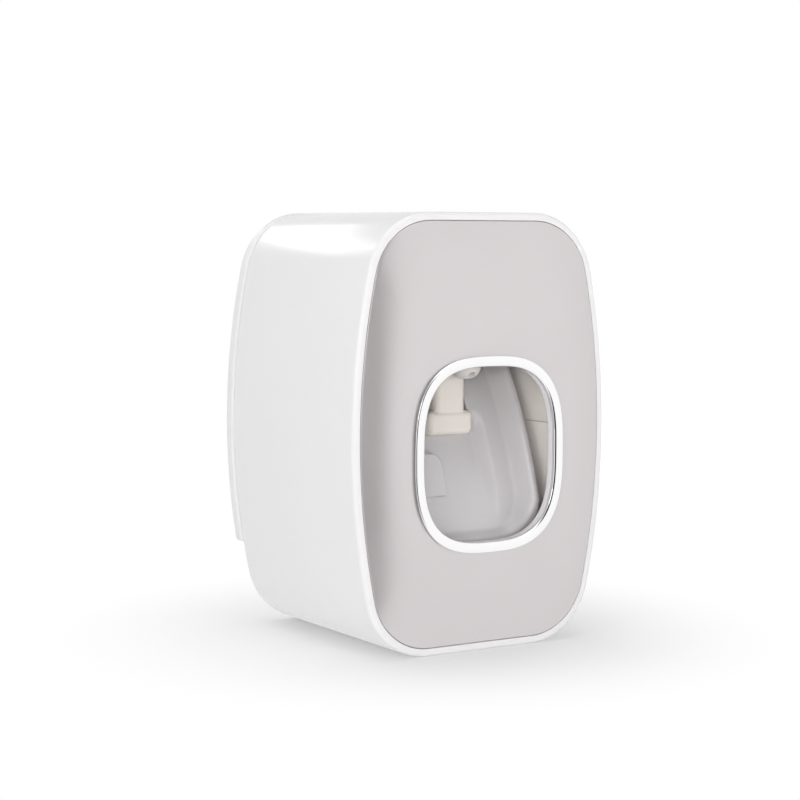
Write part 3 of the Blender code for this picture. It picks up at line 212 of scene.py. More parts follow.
SCREW_HEAD_RADIUS = 0.0026
SCREW_HEAD_HEIGHT = 0.0014
SCREW_RECESS_WIDTH = 0.0007
SCREW_RECESS_DEPTH = 0.0007
SCREW_THREAD_PITCH = 0.0008
BOSS_TOP_Z = ROOF_TOP_Z + SCREW_HEAD_HEIGHT + SEAT_GAP
COLLAR_RADIUS = 0.0160
COLLAR_WALL = 0.0022
COLLAR_SET_BACK = 0.0003
GASKET_LIP_WALL = 0.0014
GASKET_THICKNESS = 0.0010
HINGE_PIN_LENGTH = 0.0130
PIN_HEAD_RADIUS = 0.0032
PIN_HEAD_HEIGHT = 0.0012
BRACKET_THICKNESS = 0.0037
BRACKET_BOTTOM = 0.0218
BRACKET_ROUNDING = 0.0008
BRACKET_TRAVEL = 0.0060
HOOK_HALF_WIDTH = 0.0040
HOOK_OFFSET = 0.0120
HOOK_Z = MIDDLE_Z + 0.0090
HOOK_NECK = 0.0030
HOOK_LIP = 0.0050
HOOK_LIP_THICKNESS = 0.0022
PAD_HALF_SIDE = 0.0220
PAD_THICKNESS = 0.0010
PAD_RECESS = 0.0008
PAD_MIDDLE_Z = MIDDLE_Z + 0.0100

# Roundings and small allowances
HAIR = 0.00005
SCREW_EDGE = 0.00006
CRISP = 0.0001
DULLED = 0.00015
KEEN = 0.0002
FLAP_EDGE = 0.00025
EASED = 0.0003
SOFT = 0.0004
BLUNT = 0.0005
FULL = 0.0006
MOUTH_EASE = 0.0007
CHAMBER_ROUNDING = 0.0012
PAD_CORNER = 0.0030
OVERSHOOT = 0.0020
ON_AXIS = 1e-7
WELD = 1e-6
NEARLY_STRAIGHT = math.pi - 0.02
CORNER_SHARE = 0.49
SLOT_ROUNDNESS = 0.99

# Camera, from a fit to the photograph's outlines
FOCAL_PIXELS = 2017.0
PICTURE_PIXELS = 800
SENSOR_MM = 36.0
CAMERA_YAW = math.radians(32.12)
CAMERA_PITCH = math.radians(4.71)
CAMERA_ROLL = math.radians(0.26)
CAMERA_SHIFT_MM = Vector((20.6, 8.2, 499.7))
NEAREST_SEEN = 0.01
FARTHEST_SEEN = 50.0

# Steps in round stretches and across the panel
FINE_CORNER = 20
FINE_SIDE = 36
FINE_FLAT = 12
FINE_ROUND = 96
SMALL_ROUND = 48
PIN_ROUND = 64
PILOT_ROUND = 40
SOCKET_ROUND = 144
RING_POINTS = 288
COIL_STEPS = 40
WIRE_STEPS = 14
PANEL_EDGE_STEPS = 8
PANEL_CROWN_STEPS = 30
PANEL_BACK_SHARES = (1.0, 0.6, 0.3, 0.12, 0.0)

WORKSHOP = bpy.data.collections.new("working_shapes")
bpy.context.scene.collection.children.link(WORKSHOP)


# Working shapes
def as_object(name, data, location=(0, 0, 0), rotation=(0, 0, 0)):
    data.name = name + "_shape"
    item = bpy.data.objects.new(data.name, data)
    WORKSHOP.objects.link(item)
    item.location = location
    item.rotation_euler = rotation
    return item


def mesh_from(work):
    bmesh.ops.recalc_face_normals(work, faces=work.faces)
    mesh = bpy.data.meshes.new("working")
    work.to_mesh(mesh)
    work.free()
    return mesh


def arc(centre, radius, start, end, steps):
    angles = [start + (end - start) * k / steps for k in range(steps + 1)]
    return [(centre[0] + radius * math.cos(a), centre[1] + radius * math.sin(a)) for a in angles]


def rounded(corners, steps=5):
    """Round those corners of a closed outline that have a third number, their radius."""
    points = []
    count = len(corners)
    for k, corner in enumerate(corners):
        here = Vector(corner[:2])
        turn = corner[2] if len(corner) > 2 else 0.0
        before = Vector(corners[k - 1][:2]) - here
        after = Vector(corners[(k + 1) % count][:2]) - here
        opening = before.angle(after)
        if turn <= 0 or opening > NEARLY_STRAIGHT:
            points.append(tuple(here))
            continue
        room = CORNER_SHARE * min(before.length, after.length)
        reach = min(turn / math.tan(opening / 2), room)
        turn = reach * math.tan(opening / 2)
        before.normalize()
        after.normalize()
        centre = here + (before + after).normalized() * (turn / math.sin(opening / 2))
        start = here + before * reach - centre
        end = here + after * reach - centre
        first = math.atan2(start.y, start.x)
        sweep = math.remainder(math.atan2(end.y, end.x) - first, 2 * math.pi)
        points += arc(centre, turn, first, first + sweep, steps)
    return points


def rounded_box(half_width, low, high, low_radius, high_radius):
    corners = [(half_width, low, low_radius), (half_width, high, high_radius),
               (-half_width, high, high_radius), (-half_width, low, low_radius)]
    return rounded(corners, FINE_CORNER)


FACING = {"front": (Vector((0, 1, 0)), (math.pi / 2, 0.0, 0.0)),
          "side": (Vector((1, 0, 0)), (math.pi / 2, 0.0, math.pi / 2))}


def slab(name, outline, low, high, facing):
    """A closed outline given thickness between two planes square to the way it faces."""
    work = bmesh.new()
    half = abs(high - low) / 2
    lower = [work.verts.new((x, y, -half)) for x, y in outline]
    upper = [work.verts.new((x, y, half)) for x, y in outline]
    work.faces.new(list(reversed(lower)))
    work.faces.new(upper)
    for k in range(len(outline)):
        j = (k + 1) % len(outline)
        work.faces.new((lower[k], lower[j], upper[j], upper[k]))
    way, turn = FACING[facing]
    return as_object(name, mesh_from(work), way * (low + high) / 2, turn)


def box(name, corner, opposite):
    """A block between two opposite corners, whichever way they lie."""
    low = Vector([min(pair) for pair in zip(corner, opposite)])
    high = Vector([max(pair) for pair in zip(corner, opposite)])
    work = bmesh.new()
    bmesh.ops.create_cube(work, size=1.0, matrix=Matrix.Diagonal((*(high - low), 1.0)))
    return as_object(name, mesh_from(work), (low + high) / 2)


def rod(name, start, end, radius, steps=FINE_ROUND):
    start, end = Vector(start), Vector(end)
    work = bmesh.new()
    bmesh.ops.create_cone(work, cap_ends=True, segments=steps, radius1=radius, radius2=radius,
                          depth=(end - start).length)
    turn = (end - start).to_track_quat("Z", "Y").to_euler()
    return as_object(name, mesh_from(work), (start + end) / 2, turn)


def bar(name, line, start, end, radius, steps=FINE_ROUND):
    """A rod on a line along X, Y or Z, which is given with its two other coordinates."""
    axis, place = line
    k = "XYZ".index(axis)
    ends = [(*place[:k], at, *place[k:]) for at in (start, end)]
    return rod(name, *ends, radius, steps)


def turned(name, profile, location=(0, 0, 0), rotation=(0, 0, 0), steps=FINE_ROUND):
    """A closed profile of (radius, height) points turned about the local Z axis."""
    work = bmesh.new()
    rings = []
    for radius, height in profile:
        if radius < ON_AXIS:
            rings.append([work.verts.new((0, 0, height))])
            continue
        angles = [2 * math.pi * k / steps for k in range(steps)]
        rings.append([work.verts.new((radius * math.cos(a), radius * math.sin(a), height)) for a in angles])
    for k, ring in enumerate(rings):
        following = rings[(k + 1) % len(rings)]
        if len(ring) == 1 and len(following) == 1:
            continue
        for i in range(steps):
            j = (i + 1) % steps
            corners = [ring[i % len(ring)], ring[j % len(ring)]]
            corners += [following[j % len(following)], following[i % len(following)]]
            unlike = [v for n, v in enumerate(corners) if v not in corners[:n]]
            work.faces.new(unlike)
    return as_object(name, mesh_from(work), location, rotation)


def combine(target, others, operation):
    for other in others:
        step = target.modifiers.new(other.name, "BOOLEAN")
        step.operation = operation
        step.solver = "EXACT"
        step.object = other


def cut(target, *others):
    combine(target, others, "DIFFERENCE")


def add(target, *others):
    combine(target, others, "UNION")


def soften(item, width, segments=4, angle=40, clamp=True):
    bevel = item.modifiers.new("rounding", "BEVEL")
    bevel.use_clamp_overlap = clamp
    bevel.width = width
    bevel.segments = segments
    bevel.limit_method = "ANGLE"
    bevel.angle_limit = math.radians(angle)


def dull(item, width=DULLED):
    """Take the keenness off the edges that are left, even where they meet closely."""
    soften(item, width, 3, 50, False)


def melt(item, voxel, passes):
    """Blend sharp joins into moulded ones: an even skin of small faces, then a little smoothing."""
    skin = item.modifiers.new("skin", "REMESH")
    skin.mode = "VOXEL"
    skin.voxel_size = voxel
    skin.use_smooth_shade = True
    relax = item.modifiers.new("relax", "SMOOTH")
    relax.factor = 0.5
    relax.iterations = passes


def settle(item):
    """The finished mesh of a working shape, in place, with its modifiers applied."""
    bpy.context.view_layer.update()
    seen = item.evaluated_get(bpy.context.evaluated_depsgraph_get())
    mesh = bpy.data.meshes.new_from_object(seen)
    mesh.transform(item.matrix_world)
    work = bmesh.new()
    work.from_mesh(mesh)
    bmesh.ops.remove_doubles(work, verts=work.verts, dist=WELD)
    work.to_mesh(mesh)
    work.free()
    return mesh


def join_meshes(name, meshes):
    work = bmesh.new()
    for mesh in meshes:
        work.from_mesh(mesh)
    joined = bpy.data.meshes.new(name)
    work.to_mesh(joined)
    work.free()
    return joined


def piece(name, shape, finish, body, slot, *replaced, sharp=38):
    """A finished piece of the object, which rides on its body and stands for its CAD nodes."""
    mesh = settle(shape)
    mesh.name = name
    item = bpy.data.objects.new(name, mesh)
    bpy.context.scene.collection.objects.link(item)
    mesh.materials.clear()
    mesh.materials.append(finish)
    mesh.shade_smooth()
    mesh.set_sharp_from_angle(angle=math.radians(sharp))
    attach(item, body)
    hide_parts(*replaced)
    return item


# Node graphs, for finishes and for repeated shapes
def sum_node(operation, reflected=False):
    """An operator that adds a maths node; the reflected form puts the other value first."""
    def apply(value, other=0.0):
        first, second = (other, value) if reflected else (value, other)
        return value.graph.node("ShaderNodeMath", {"operation": operation}, {0: first, 1: second})
    return apply


class Value:
    """A socket's value, which can be used in sums."""

    def __init__(self, graph, socket):
        self.graph = graph
        self.socket = socket

    __add__ = sum_node("ADD")
    __radd__ = sum_node("ADD", True)
    __sub__ = sum_node("SUBTRACT")
    __rsub__ = sum_node("SUBTRACT", True)
    __mul__ = sum_node("MULTIPLY")
    __rmul__ = sum_node("MULTIPLY", True)
    __truediv__ = sum_node("DIVIDE")
    __rtruediv__ = sum_node("DIVIDE", True)
    __pow__ = sum_node("POWER")
    __rpow__ = sum_node("POWER", True)
    __abs__ = sum_node("ABSOLUTE")


class Graph:
    """A node tree with one short way to add a node."""

    def __init__(self, tree):
        self.tree = tree

    def node(self, kind, settings=None, inputs=None, output=0):
        made = self.tree.nodes.new(kind)
        for key, value in (settings or {}).items():
            setattr(made, key, value)
        for key, value in (inputs or {}).items():
            self.plug(made.inputs[key], value)
        return Value(self, made.outputs[output])

    def plug(self, socket, value):
        if isinstance(value, Value):
            self.tree.links.new(value.socket, socket)
        else:
            socket.default_value = value

    def ranged(self, value, low, high, to_low, to_high, easing="LINEAR"):
        """A value that runs from to_low to to_high while value runs from low to high."""
        return self.node("ShaderNodeMapRange", {"interpolation_type": easing},
                         {0: value, 1: low, 2: high, 3: to_low, 4: to_high})


class Finish(Graph):
    """A procedural surface finish on a Principled shader."""

    def __init__(self, name, **constants):
        self.material = bpy.data.materials.new(name)
        self.material.use_nodes = True
        super().__init__(self.material.node_tree)
        self.shader = self.tree.nodes["Principled BSDF"]
        self.place = self.node("ShaderNodeTexCoord", output="Object")
        for key, value in constants.items():
            self.shader.inputs[key.replace("_", " ").title().replace("Ior", "IOR")].default_value = value

    def feed(self, socket, value):
        self.plug(self.shader.inputs[socket], value)

    def noise(self, size, detail, roughness, stretch=(1.0, 1.0, 1.0), shift=0.0):
        """Soft noise whose blots are about size metres across, from 0 to 1."""
        scale = tuple(s / size for s in stretch)
        place = self.node("ShaderNodeMapping", {}, {"Vector": self.place, "Scale": scale,
                                                    "Location": (shift, shift * 0.7, shift * 1.3)})
        return self.node("ShaderNodeTexNoise", {}, {"Vector": place, "Scale": 1.0, "Detail": detail,
                                                    "Roughness": roughness})

    def mixed(self, share, first, second):
        colours = {0: share, 6: first, 7: second}
        return self.node("ShaderNodeMix", {"data_type": "RGBA"}, colours, output=2)

    def bump(self, height, distance, under=None):
        inputs = {"Height": height, "Distance": distance, "Strength": 1.0}
        if under:
            inputs["Normal"] = under
        return self.node("ShaderNodeBump", {}, inputs)


def tint(colour, factor):
    return (*[min(1.0, c * factor) for c in colour], 1.0)


EVEN = (1.0, 1.0, 1.0)

# Noise patterns: how far across a blot is in metres, then detail, roughness, stretch and shift
MOTTLE = (0.016, 3.0, 0.55)
SPECK = (0.0007, 2.0, 0.6, EVEN, 5.0)
DUST = (0.009, 4.0, 0.6, EVEN, 2.0)
SMEAR = (0.011, 4.0, 0.65, (1.0, 1.0, 0.45), 9.0)
SCRATCH = (0.0011, 3.0, 0.6, (0.12, 1.0, 1.0), 3.0)
GRAIN = (0.00025, 2.0, 0.55, EVEN, 1.0)
GLOSS_WAVE = (0.010, 1.0, 0.4, EVEN, 7.0)
METAL_CLOUD = (0.012, 3.0, 0.5)
METAL_RUB = (0.0009, 3.0, 0.6, (0.15, 1.0, 1.0), 4.0)
METAL_SMEAR = (0.006, 3.0, 0.6, EVEN, 2.0)
RUBBER_BLOOM = (0.005, 4.0, 0.6)
RUBBER_SKIN = (0.0002, 3.0, 0.6, EVEN, 3.0)
FOAM_CLOUD = (0.006, 3.0, 0.6)

# Depths of the fine relief, and how wide the polish fades out on the ring's collar, in metres
RUB_RELIEF = 0.000002
RUBBER_RELIEF = 0.00001
PIT_RELIEF = 0.00008
BARE_EDGE = 0.0001
FOAM_CELLS_PER_METRE = 2400.0


def moulded_plastic(name, colour, roughness, relief=0.000006, uneven=0.03, scuffs=0.12, gloss_wave=0.0,
                    coat=0.0, glow=0.0, pearl=0.0, dust=None):
    """Injection-moulded plastic: faint mottling, fine grain, soft scuffs and, if glossy, a slight wave."""
    finish = Finish(name, coat_weight=coat, coat_roughness=0.08, ior=1.48, subsurface_weight=glow,
                    subsurface_radius=(0.004, 0.003, 0.002), subsurface_scale=1.0, metallic=pearl)
    share = finish.noise(*MOTTLE) * 0.7 + finish.noise(*SPECK) * 0.3
    shade = finish.mixed(share, tint(colour, 1 - uneven), tint(colour, 1 + uneven))
    if dust:
        dusty = finish.ranged(finish.noise(*DUST), 0.55, 0.80, 0.0, 0.35)
        shade = finish.mixed(dusty, shade, (*dust, 1.0))
    finish.feed("Base Color", shade)
    worn = finish.ranged(finish.noise(*SMEAR), 0.42, 0.75, 0.0, scuffs)
    fine = finish.ranged(finish.noise(*SCRATCH), 0.60, 0.78, 0.0, scuffs / 2)
    finish.feed("Roughness", worn + fine + roughness)
    normal = finish.bump(finish.noise(*GRAIN), relief)
    if gloss_wave:
        normal = finish.bump(finish.noise(*GLOSS_WAVE), gloss_wave, under=normal)
    finish.feed("Normal", normal)
    return finish.material


def polished_metal(name, colour, roughness, brushed=0.0, plain_behind=None):
    """Bright metal with fine rubbing marks; behind a depth, if one is given, the plastic is left bare."""
    finish = Finish(name, metallic=1.0, ior=1.6)
    shade = finish.mixed(finish.noise(*METAL_CLOUD), tint(colour, 0.97), tint(colour, 1.02))
    if plain_behind is not None:
        depth = finish.node("ShaderNodeSeparateXYZ", {}, {0: finish.place}, output=1)
        bare = finish.ranged(depth, plain_behind, plain_behind + BARE_EDGE, 0.0, 1.0)
        shade = finish.mixed(bare, shade, tint(BARE_COLLAR, 1.0))
        finish.feed("Metallic", 1 - bare)
    finish.feed("Base Color", shade)
    rub = finish.noise(*METAL_RUB)
    worn = finish.ranged(finish.noise(*METAL_SMEAR), 0.5, 0.8, 0.0, 0.08)
    finish.feed("Roughness", worn + finish.ranged(rub, 0.4, 0.8, 0.0, brushed) + roughness)
    finish.feed("Normal", finish.bump(rub, RUB_RELIEF))
    return finish.material


def soft_rubber(name, colour, roughness, glow=0.0):
    """Silicone or rubber: matt, dusty in places, with a fine leathery skin."""
    finish = Finish(name, ior=1.42, subsurface_weight=glow, subsurface_radius=(0.003, 0.002, 0.0015),
                    subsurface_scale=1.0, sheen_weight=0.1)
    bloom = finish.noise(*RUBBER_BLOOM)
    finish.feed("Base Color", finish.mixed(bloom, tint(colour, 0.93), tint(colour, 1.08)))
    finish.feed("Roughness", finish.ranged(bloom, 0.3, 0.7, roughness - 0.06, roughness + 0.1))
    finish.feed("Normal", finish.bump(finish.noise(*RUBBER_SKIN), RUBBER_RELIEF))
    return finish.material


def foam_tape(name, colour):
    """Closed-cell foam: small round cells whose sunken pits are painted darker as shade, and a soft dusty
    surface.
    """
    finish = Finish(name, ior=1.4)
    cells = finish.node("ShaderNodeTexVoronoi", {"feature": "F1"},
                        {"Vector": finish.place, "Scale": FOAM_CELLS_PER_METRE})
    pits_with_painted_shade = finish.ranged(cells, 0.15, 0.6, 0.0, 1.0)
    cloud = finish.noise(*FOAM_CLOUD)
    # The sunken cell pits take the darker tint: painted shade in the hollows, mixed with a random cloudy
    # tone.
    shade = finish.mixed(pits_with_painted_shade * 0.6 + cloud * 0.4, tint(colour, 0.72), tint(colour, 1.12))
    finish.feed("Base Color", shade)
    finish.feed("Roughness", finish.ranged(cloud, 0.2, 0.8, 0.82, 0.95))
    finish.feed("Normal", finish.bump(pits_with_painted_shade, PIT_RELIEF))
    return finish.material


WHITE = (0.80, 0.79, 0.795)
PANEL_GREY = (0.66, 0.63, 0.635)
LEVER_GREY = (0.63, 0.61, 0.62)
CREAM = (0.93, 0.885, 0.835)
LINER_DUST = (0.60, 0.55, 0.50)
SHROUD_CREAM = (0.82, 0.77, 0.715)
BARE_COLLAR = (0.84, 0.83, 0.85)
STEEL = (0.62, 0.62, 0.64)

SHELL = moulded_plastic("gloss_white_shell", WHITE, 0.17, relief=0.000002, uneven=0.012, scuffs=0.07,
                        gloss_wave=0.00001, coat=0.12)
PANEL = moulded_plastic("satin_grey_panel", PANEL_GREY, 0.30, uneven=0.02, scuffs=0.06, pearl=0.6)
LEVER = moulded_plastic("grey_lever_plastic", LEVER_GREY, 0.28, relief=0.000003, uneven=0.015, scuffs=0.02,
                        glow=0.05, coat=0.5)
LINER = moulded_plastic("cream_liner_plastic", CREAM, 0.40, relief=0.00001, uneven=0.04, dust=LINER_DUST)
SHROUD = moulded_plastic("cream_shroud_plastic", SHROUD_CREAM, 0.30, glow=0.05)
PUMP = moulded_plastic("pump_acetal", (0.74, 0.72, 0.68), 0.34, relief=0.000005, glow=0.08)
COLLAR = moulded_plastic("collar_plastic", (0.62, 0.62, 0.63), 0.33, relief=0.00001)
BACK = moulded_plastic("matt_white_back", WHITE, 0.38, relief=0.000012, uneven=0.02, scuffs=0.15)
SILICONE = soft_rubber("nozzle_silicone", (0.70, 0.665, 0.64), 0.38)
FLAP = soft_rubber("valve_silicone", (0.72, 0.70, 0.66), 0.45, glow=0.15)
SEAL = soft_rubber("black_seal_rubber", (0.035, 0.035, 0.038), 0.50)
GASKET = soft_rubber("grey_gasket_rubber", (0.25, 0.25, 0.27), 0.55)
CHROME = polished_metal("polished_ring", (0.98, 0.98, 0.985), 0.04,
                        plain_behind=FRONT_Y - PANEL_CROWN - SEAT_GAP + TRIM_THICKNESS * 0.6)
BRIGHT_STEEL = polished_metal("bright_steel", STEEL, 0.22, brushed=0.12)
SPRING_STEEL = polished_metal("spring_steel", (0.55, 0.55, 0.57), 0.20, brushed=0.10)
FOAM = foam_tape("pad_foam", (0.42, 0.42, 0.43))


# Outlines
def casing_outline(inset):
    """The casing's outline, drawn in by inset: bowed sides, round corners, flat top and bottom."""
    half_width = CASING_WIDTH / 2 - inset
    half_height = CASING_HEIGHT / 2 - inset
    corner = CORNER_RADIUS - inset
    bow = SIDE_BOW_RADIUS - inset
    rise = half_height - corner
    reach = math.sqrt((bow - corner) ** 2 - rise ** 2)
    corner_x = half_width - bow + reach
    meet = math.atan2(rise, reach)
    points = []
    for side, turn in ((1, 0.0), (-1, math.pi)):
        bow_centre = (side * (half_width - bow), 0.0)
        points += arc(bow_centre, bow, turn - meet, turn + meet, FINE_SIDE)[:-1]
        corner_centre = (side * corner_x, side * rise)
        points += arc(corner_centre, corner, turn + meet, turn + math.pi / 2, FINE_CORNER)[:-1]
        for k in range(FINE_FLAT):
            points.append((side * corner_x * (1 - 2 * k / FINE_FLAT), side * half_height))
        corner_centre = (-side * corner_x, side * rise)
        points += arc(corner_centre, corner, turn + math.pi / 2, turn + math.pi - meet, FINE_CORNER)[:-1]
    return [(x, z + MIDDLE_Z) for x, z in points]


def window_point(angle, grow):
    """A point on the window's rounded outline, grown outwards by grow."""
    across = abs(math.cos(angle) / (WINDOW_HALF_WIDTH + grow)) ** WINDOW_ROUNDNESS
    upright = abs(math.sin(angle) / (WINDOW_HALF_HEIGHT + grow)) ** WINDOW_ROUNDNESS
    reach = (across + upright) ** (-1 / WINDOW_ROUNDNESS)
    return (reach * math.cos(angle), WINDOW_Z + reach * math.sin(angle))


def loft(name, rings):
    """A closed skin through closed rings; the last ring joins the first."""
    work = bmesh.new()
    loops = [[work.verts.new(point) for point in ring] for ring in rings]
    count = len(loops[0])
    for k, loop in enumerate(loops):
        following = loops[(k + 1) % len(loops)]
        for i in range(count):
            j = (i + 1) % count
            work.faces.new((loop[i], loop[j], following[j], following[i]))
    return as_object(name, mesh_from(work))


# Camera
def make_camera():
    upright = Matrix(((1, 0, 0), (0, 0, -1), (0, 1, 0)))
    tilt = Matrix.Rotation(CAMERA_ROLL, 3, "Z") @ Matrix.Rotation(CAMERA_PITCH, 3, "X")
    turn = tilt @ upright @ Matrix.Rotation(CAMERA_YAW, 3, "Z")
    place = -(turn.transposed() @ CAMERA_SHIFT_MM) / 1000 + Vector((0, FRONT_Y, MIDDLE_Z))
    axes = Matrix((turn[0], -turn[1], -turn[2])).transposed()
    data = bpy.data.cameras.new("photo_view")
    data.sensor_width = SENSOR_MM
    data.lens = FOCAL_PIXELS / PICTURE_PIXELS * SENSOR_MM
    data.clip_start = NEAREST_SEEN
    data.clip_end = FARTHEST_SEEN
    camera = bpy.data.objects.new("photo_view", data)
    camera.matrix_world = Matrix.Translation(place) @ axes.to_4x4()
    bpy.context.scene.collection.objects.link(camera)
    bpy.context.scene.camera = camera
    return place


# Light and floor
def add_lamp(name, place, target, size, power, mirrored=True):
    data = bpy.data.lights.new(name, "AREA")
    data.shape = "RECTANGLE"
    data.size, data.size_y = size
    data.energy = power
    lamp = bpy.data.objects.new(name, data)
    lamp.location = place
    lamp.rotation_euler = (Vector(target) - Vector(place)).to_track_quat("-Z", "Y").to_euler()
    lamp.visible_glossy = mirrored
    bpy.context.scene.collection.objects.link(lamp)


ROOM_LIGHT = 0.26
DARK_PATCH = 0.02
GROUND_TONE = 0.96
PATCH_EDGE = math.cos(math.radians(52))
PATCH_CORE = math.cos(math.radians(30))
GROUND_LOW = -0.35
GROUND_HIGH = 0.05
PLAIN_WHITE = (1.0, 1.0, 1.0, 1.0)


def make_world(camera_place):
    """A soft white room; mirrors also see a dark patch behind the camera and a duller ground."""
    world = bpy.data.worlds.new("soft_room")
    bpy.context.scene.world = world
    world.use_nodes = True
    graph = Graph(world.node_tree)
    background = world.node_tree.nodes["Background"]
    toward = (camera_place - Vector((0, 0, WINDOW_Z))).normalized()
    heading = graph.node("ShaderNodeTexCoord", output="Generated")
    aligned = graph.node("ShaderNodeVectorMath", {"operation": "DOT_PRODUCT"},
                         {0: heading, 1: tuple(toward)}, output=1)
    patch = graph.ranged(aligned, PATCH_EDGE, PATCH_CORE, 1.0, DARK_PATCH, "SMOOTHSTEP")
    up = graph.node("ShaderNodeVectorMath", {"operation": "DOT_PRODUCT"},
                    {0: heading, 1: (0, 0, 1)}, output=1)
    ground = graph.ranged(up, GROUND_LOW, GROUND_HIGH, GROUND_TONE, 1.0, "SMOOTHSTEP")
    seen = graph.node("ShaderNodeLightPath", output="Is Camera Ray")
    glossy = graph.node("ShaderNodeLightPath", output="Is Glossy Ray")
    passing = graph.node("ShaderNodeLightPath", output="Is Transmission Ray")
    mirrored = glossy * patch * ground + (1 - glossy) * ROOM_LIGHT
    level = seen + passing * (1 - seen) + (1 - seen) * (1 - passing) * mirrored
    graph.plug(background.inputs["Strength"], level)
    background.inputs["Color"].default_value = PLAIN_WHITE


FLOOR_WHITE = 0.97
FLOOR_SIZE = 8.0
FLOOR_LIFT = 0.28
SHADOW_REACH = 0.026
SHADOW_FADE = 0.100


def make_floor():
    """A white floor that keeps the shadow near the object and fades to plain white further out."""
    work = bmesh.new()
    bmesh.ops.create_grid(work, x_segments=1, y_segments=1, size=FLOOR_SIZE / 2)
    floor = bpy.data.objects.new("studio_floor", mesh_from(work))
    bpy.context.scene.collection.objects.link(floor)
    material = bpy.data.materials.new("floor_white")
    material.use_nodes = True
    graph = Graph(material.node_tree)
    material.node_tree.nodes.remove(material.node_tree.nodes["Principled BSDF"])
    place = graph.node("ShaderNodeTexCoord", output="Object")
    distance = graph.node("ShaderNodeVectorMath", {"operation": "LENGTH"}, {0: place}, output=1)
    far = graph.ranged(distance, SHADOW_REACH, SHADOW_FADE, FLOOR_LIFT, 1.0, "SMOOTHSTEP")
    seen = graph.node("ShaderNodeLightPath", output="Is Camera Ray")
    matt = graph.node("ShaderNodeBsdfDiffuse", {}, {"Color": (FLOOR_WHITE, FLOOR_WHITE, FLOOR_WHITE, 1.0)})
    white = graph.node("ShaderNodeEmission", {}, {"Color": PLAIN_WHITE, "Strength": 1.0})
    surface = graph.node("ShaderNodeMixShader", {}, {0: far * seen, 1: matt, 2: white})
    graph.plug(material.node_tree.nodes["Material Output"].inputs["Surface"], surface)
    floor.data.materials.append(material)
    floor.visible_glossy = False


# Casing
def make_casing_shell():
    ledge = RIM_THICKNESS + LEDGE_STEP
    front, rear = CHASSIS_FRONT_Y, CHASSIS_REAR_Y
    profile = [(0.0, FRONT_Y, RIM_ROUNDING), (RIM_THICKNESS, FRONT_Y, KEEN), (RIM_THICKNESS, front),
               (ledge, front, KEEN), (ledge, rear, KEEN), (RIM_THICKNESS, rear),
               (RIM_THICKNESS, REAR_Y, KEEN), (0.0, REAR_Y, RIM_ROUNDING)]
    rings = [[(x, y, z) for x, z in casing_outline(inset)] for inset, y in rounded(profile, steps=7)]
    shell = loft("casing_shell", rings)
    low, top = ROOF_TOP_Z, CASING_HEIGHT
    inner = COLLAR_RADIUS + SEAT_GAP
    outer = inner + MOUTH_EASE
    way = [(0.0, low), (inner, low), (inner, top - MOUTH_EASE), (inner + KEEN, top - EASED),
           (outer, top + HAIR), (outer, top + OVERSHOOT), (0.0, top + OVERSHOOT)]
    cut(shell, turned("collar_hole", way, (0, TUBE_Y, 0)))
    piece("casing_shell", shell, SHELL, "housing", "shell_white", "casing_sleeve", sharp=30)


def make_domed_panel():
    """The panel's skin: a rounded edge, a crown that rises to the window's flat, and the back."""
    outer = casing_outline(RIM_THICKNESS + PANEL_EDGE_GAP)
    angles = [math.atan2(z - WINDOW_Z, x) for x, z in outer]
    flat = [window_point(a, TRIM_BAND + PANEL_FLAT_MARGIN) for a in angles]
    spans = [Vector((fx - ox, fz - oz)) for (ox, oz), (fx, fz) in zip(outer, flat)]

    def crowned_ring(y, share_of):
        """Points part of the way from the outline to the window's flat, raised by the crown."""
        ring = []
        for (x, z), span in zip(outer, spans):
            share = share_of(span.length)
            rise = PANEL_CROWN * (1 - (1 - share) ** PANEL_CROWN_POWER)
            ring.append((x + span.x * share, y - rise, z + span.y * share))
        return ring

    def hole_ring(y, grow):
        return [(x, y, z) for x, z in (window_point(a, grow) for a in angles)]

    edge = PANEL_EDGE_ROUNDING
    rings = [crowned_ring(FRONT_Y + edge, lambda length: 0.0)]
    for k in range(1, PANEL_EDGE_STEPS + 1):
        turn = math.pi / 2 * k / PANEL_EDGE_STEPS
        inward = edge * (1 - math.cos(turn))
        rings.append(crowned_ring(FRONT_Y + edge * (1 - math.sin(turn)), lambda length: inward / length))
    for k in range(1, PANEL_CROWN_STEPS + 1):
        part = k / PANEL_CROWN_STEPS
        rings.append(crowned_ring(FRONT_Y, lambda length: edge / length + (1 - edge / length) * part))
    crown_y = FRONT_Y - PANEL_CROWN
    hole = TRIM_COLLAR_WALL + SEAT_GAP
    rings.append(hole_ring(crown_y, hole))
    rings.append(hole_ring(crown_y + PANEL_THICKNESS - HOLE_CHAMFER, hole))
    rings.append(hole_ring(crown_y + PANEL_THICKNESS, hole + HOLE_CHAMFER))
    for share in PANEL_BACK_SHARES:
        rings.append(crowned_ring(FRONT_Y + PANEL_THICKNESS, lambda length: share))
    panel = loft("domed_panel", rings)
    piece("domed_panel", panel, PANEL, "housing", "panel_grey", "front_panel", sharp=32)


# Geometry node trees
def new_tree(name, sizes, counts=()):
    """A geometry tree with these named inputs; returns its graph and the inputs' values."""
    group = bpy.data.node_groups.new(name, "GeometryNodeTree")
    group.interface.new_socket("Geometry", in_out="OUTPUT", socket_type="NodeSocketGeometry")
    kinds = {"Geometry": "Geometry", **dict.fromkeys(sizes, "Float"), **dict.fromkeys(counts, "Int")}
    for label, kind in kinds.items():
        group.interface.new_socket(label, in_out="INPUT", socket_type="NodeSocket" + kind)
    graph = Graph(group)
    entry = group.nodes.new("NodeGroupInput")
    return graph, {socket.name: Value(graph, socket) for socket in entry.outputs if socket.name}


